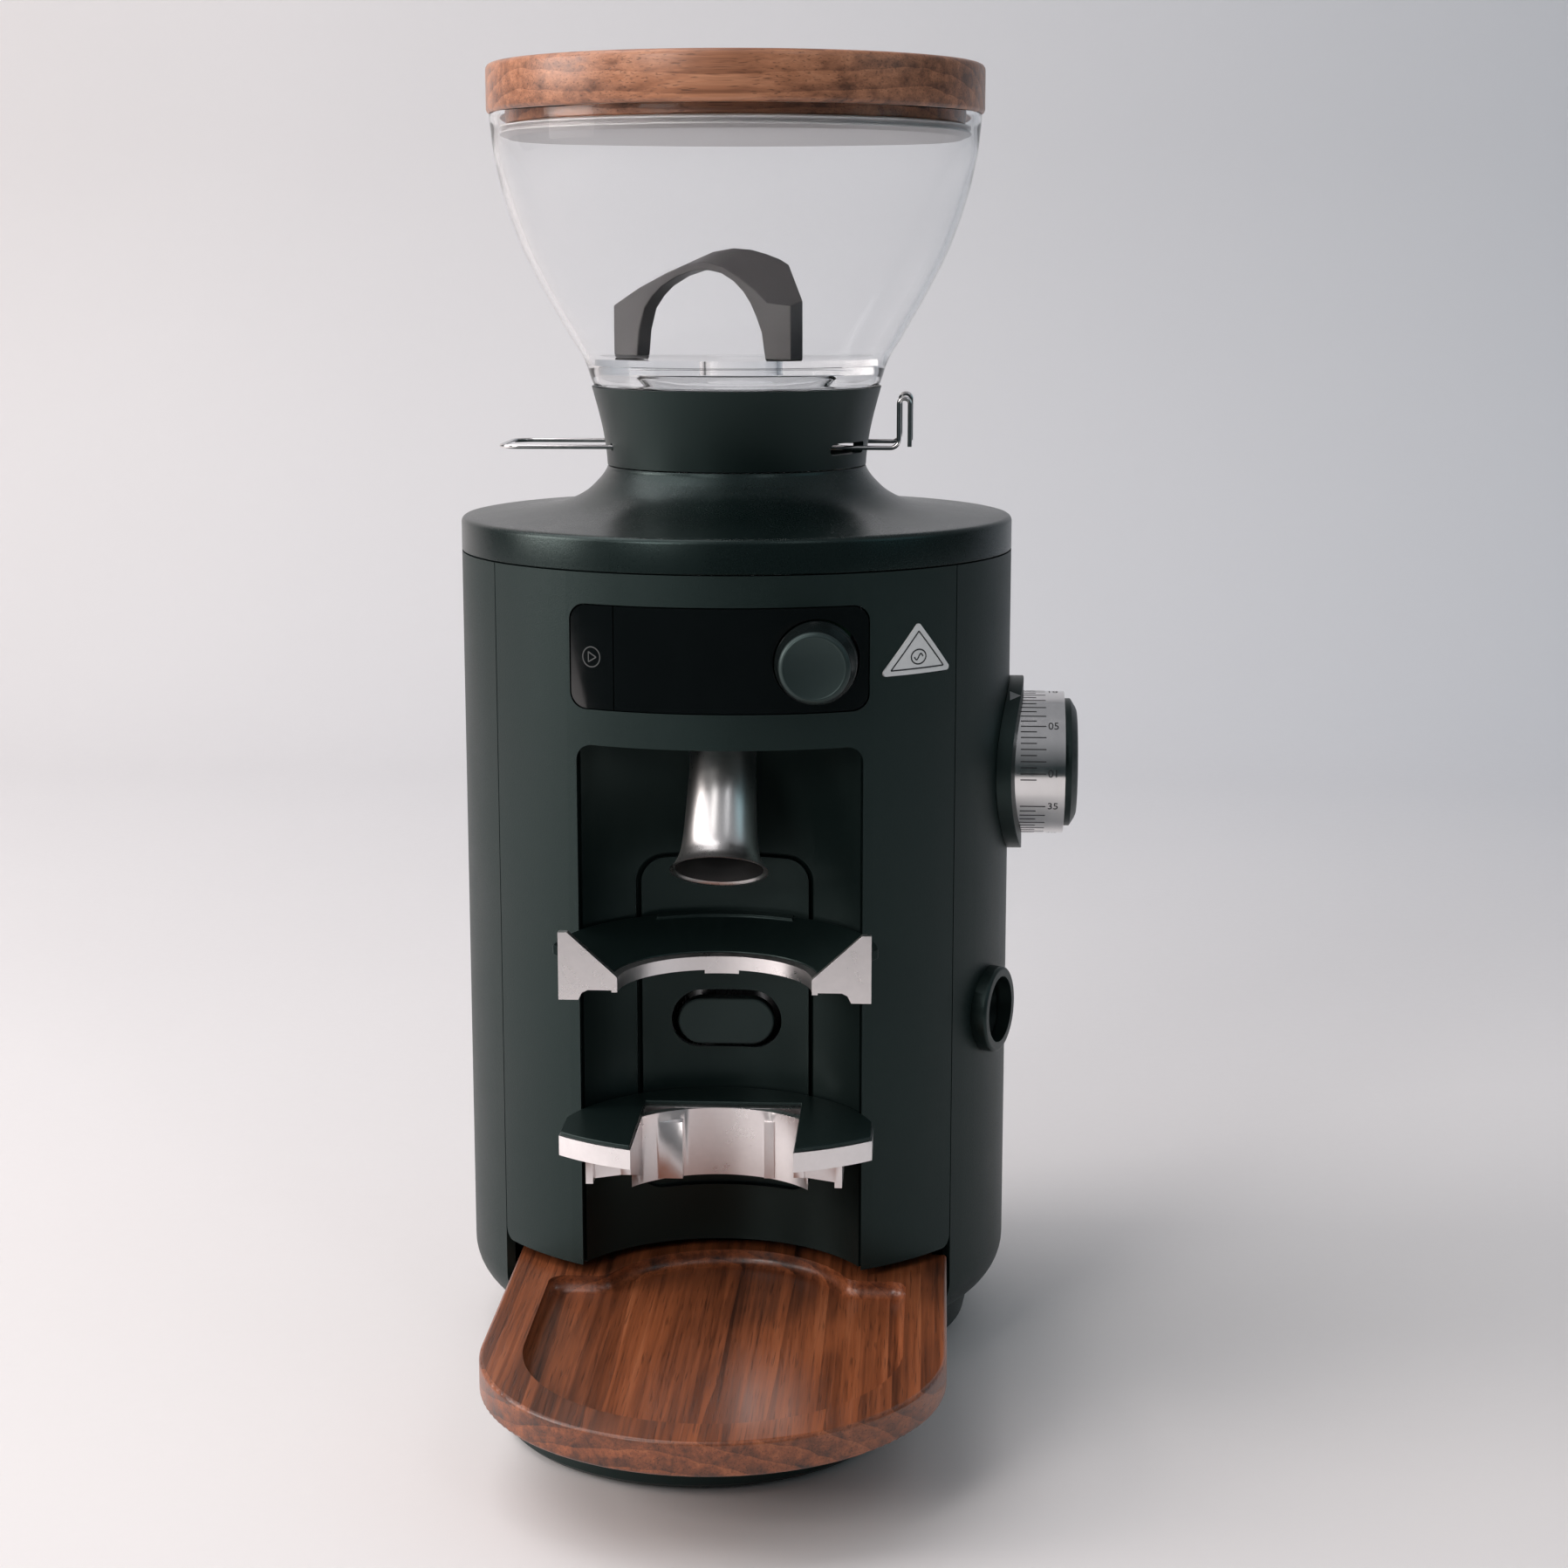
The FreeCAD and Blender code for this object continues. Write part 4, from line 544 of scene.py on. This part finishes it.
# ------------------------------------------------------------ spout
lean = math.radians(SPOUT_LEAN)
spout_way = Vector((0, math.sin(lean), math.cos(lean)))
pour = facing(Vector((0, SPOUT_Y, SPOUT_UP)), spout_way)
outer = flowing([(14.95, 0.1), (13.75, 1.5), (12.75, 3.4), (11.75, 6.6), (11.05, 13), (10.55, 22),
                 (10.05, 34), (9.95, 46)])
inner = flowing([(9.05, 46), (9.15, 34), (9.65, 22), (10.15, 13), (10.85, 6.5), (11.85, 3.25), (12.85, 1.3),
                 (13.95, 0.2)])
turned("spout_tube", [(14.3, 0.04), (14.75, 0.04)] + outer + inner, SPOUT_STEEL, "root", ["spout"],
       160, pour)
shade_run = inner[:-3]                           # the painted shade inside stops just short of the bright rim
# painted shade: a dark sheet laid just inside the steel bore, where there is only shade
turned("spout_painted_shade_lining", [(r - 0.06, h) for r, h in shade_run]
       + [(r - 0.26, h) for r, h in reversed(shade_run)], SPOUT_PAINTED_SHADE, "root", steps=96, place=pour)


# ------------------------------------------------------------ softened copies of crisp CAD pieces
def soften(node, body, width):
    """A copy of a CAD piece with small rounded edges, width in millimetres."""
    source = NODES[node]
    angle = math.radians(40)
    bm = bmesh.new()
    bm.from_mesh(source.data)
    bmesh.ops.remove_doubles(bm, verts=bm.verts, dist=0.002 * MM)
    bmesh.ops.dissolve_limit(bm, angle_limit=math.radians(0.6), verts=bm.verts, edges=bm.edges)
    mesh = bpy.data.meshes.new(node + "_soft")
    bm.to_mesh(mesh)
    bm.free()
    mesh.shade_smooth()
    mesh.set_sharp_from_angle(angle=angle)
    obj = bpy.data.objects.new(node + "_soft", mesh)
    bpy.context.collection.objects.link(obj)
    paint(obj, source.data.materials[0])
    edges = obj.modifiers.new("soft_edges", "BEVEL")
    edges.width, edges.segments, edges.limit_method = width * MM, 2, "ANGLE"
    edges.angle_limit = angle
    edges.harden_normals = True
    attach(obj, body)
    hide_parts(node)


for node, body, width in (("front_cover", "root", 0.5), ("fork_bracket", "carriage", 0.5),
                          ("lower_fork", "root", 0.45), ("fork_plate", "root", 0.3),
                          ("release_button", "release", 0.9), ("slide_panel", "carriage", 0.35),
                          ("upper_fork", "carriage", 0.4), ("switch_collar", "root", 0.3),
                          ("dial_ring", "root", 0.3), ("dial_cap", "dial", 0.25)):
    soften(node, body, width)

# ------------------------------------------------------------ room, light, camera
FLOOR_HALF, FLOOR_FRONT, WALL_Y, BEND_R = 2.6, -0.75, 1.45, 0.45


def sweep():
    """Floor that bends up into the backdrop, with painted shade: the paper turns darker and bluer towards
    the right and the back.
    """
    path = [(FLOOR_FRONT, 0.0)]
    turns = 24
    for i in range(turns + 1):
        a = math.radians(90 * i / turns)
        path.append((WALL_Y - BEND_R + BEND_R * math.sin(a), BEND_R - BEND_R * math.cos(a)))
    path.append((WALL_Y, 2.6))
    mesh = bpy.data.meshes.new("studio_sweep")
    verts = [(side * FLOOR_HALF, y, z) for y, z in path for side in (-1, 1)]
    faces = [(2 * i, 2 * i + 1, 2 * i + 3, 2 * i + 2) for i in range(len(path) - 1)]
    mesh.from_pydata(verts, [], faces)
    mesh.shade_smooth()
    obj = bpy.data.objects.new("studio_sweep", mesh)
    bpy.context.collection.objects.link(obj)
    look = Look("studio_paper", (0.80, 0.775, 0.77), 0.62)
    # painted shade: a mask that grows towards the right (X) and the back (Y) blends the paper into a darker,
    # bluer grey, standing in for shadow there
    apart = look.node("ShaderNodeSeparateXYZ")
    look.feed(apart.inputs[0], look.coords)
    across = look.math("MULTIPLY_ADD", apart.outputs["X"], 0.45)
    across.node.inputs[2].default_value = 0.45
    depth = look.math("MULTIPLY_ADD", apart.outputs["Y"], 0.8)
    depth.node.inputs[2].default_value = 0.1
    painted_shade = look.math("MULTIPLY", look.clamp(across), look.clamp(depth))
    pale = look.ramp(look.noise(3, 3), (0.3, (0.79, 0.765, 0.76)), (0.7, (0.81, 0.785, 0.78)))
    look.colour(look.blend("MIX", painted_shade, pale, (0.62, 0.66, 0.71)))
    look.rough(look.noise(260, 3), 0.55, 0.7)
    look.bump(look.noise(900, 2), 0.02, 0.3)
    paint(obj, look.mat)


def lamp(name, at, aim, wide, high, power, tint):
    data = bpy.data.lights.new(name, "AREA")
    data.shape = "RECTANGLE"
    data.size, data.size_y = wide, high
    data.energy, data.color = power, tint
    obj = bpy.data.objects.new(name, data)
    obj.location = at
    obj.rotation_euler = (Vector(aim) - Vector(at)).to_track_quat("-Z", "Y").to_euler()
    bpy.context.collection.objects.link(obj)
    return obj


sweep()
lamp("side", (-1.5, -0.30, 0.70), (0, 0.1, 0.22), 0.8, 0.8, 14, (1.0, 0.93, 0.90))
lamp("key", (-0.85, -1.40, 0.85), (0, 0.1, 0.2), 0.5, 0.5, 7, (1.0, 0.96, 0.94))
lamp("over", (-1.1, 0.05, 2.1), (0.0, 0.3, 0), 2.0, 2.0, 29, (1.0, 0.955, 0.96))
lamp("strip", (-0.45, -0.95, 1.2), (0, -0.08, 0.19), 0.30, 0.5, 1.3, (1.0, 0.97, 0.95))
lamp("strip_right", (0.55, -0.9, 1.1), (0, -0.08, 0.19), 0.14, 0.5, 0.6, (0.97, 0.98, 1.0))
lamp("fill", (1.6, -0.5, 0.9), (0, 0, 0.2), 0.9, 0.9, 1.4, (0.50, 0.90, 1.0))
bpy.context.scene.view_settings.view_transform = "Standard"

world = bpy.data.worlds.new("studio")
bpy.context.scene.world = world
world.use_nodes = True
air = world.node_tree
where = air.nodes.new("ShaderNodeTexCoord")
split = air.nodes.new("ShaderNodeSeparateXYZ")
glow = air.nodes.new("ShaderNodeValToRGB")
air.links.new(where.outputs["Generated"], split.inputs[0])
air.links.new(split.outputs["Z"], glow.inputs["Fac"])
air.links.new(glow.outputs["Color"], air.nodes["Background"].inputs["Color"])
glow.color_ramp.elements[0].position, glow.color_ramp.elements[1].position = 0.0, 0.7
glow.color_ramp.elements[0].color = (0.055, 0.075, 0.08, 1)
glow.color_ramp.elements[1].color = (0.62, 0.63, 0.66, 1)
air.nodes["Background"].inputs["Strength"].default_value = 0.5

EYE = Vector((0.0649, -0.9049, 0.348))
TURN, DIP = math.radians(3.15), math.radians(10.50)
LENS = 64.77
camera = bpy.data.cameras.new("camera")
camera.lens, camera.sensor_width = LENS, 36
eye = bpy.data.objects.new("camera", camera)
aim = Vector((-math.sin(TURN) * math.cos(DIP), math.cos(TURN) * math.cos(DIP), -math.sin(DIP)))
eye.location = EYE
eye.rotation_euler = aim.to_track_quat("-Z", "Y").to_euler()
bpy.context.collection.objects.link(eye)
bpy.context.scene.camera = eye
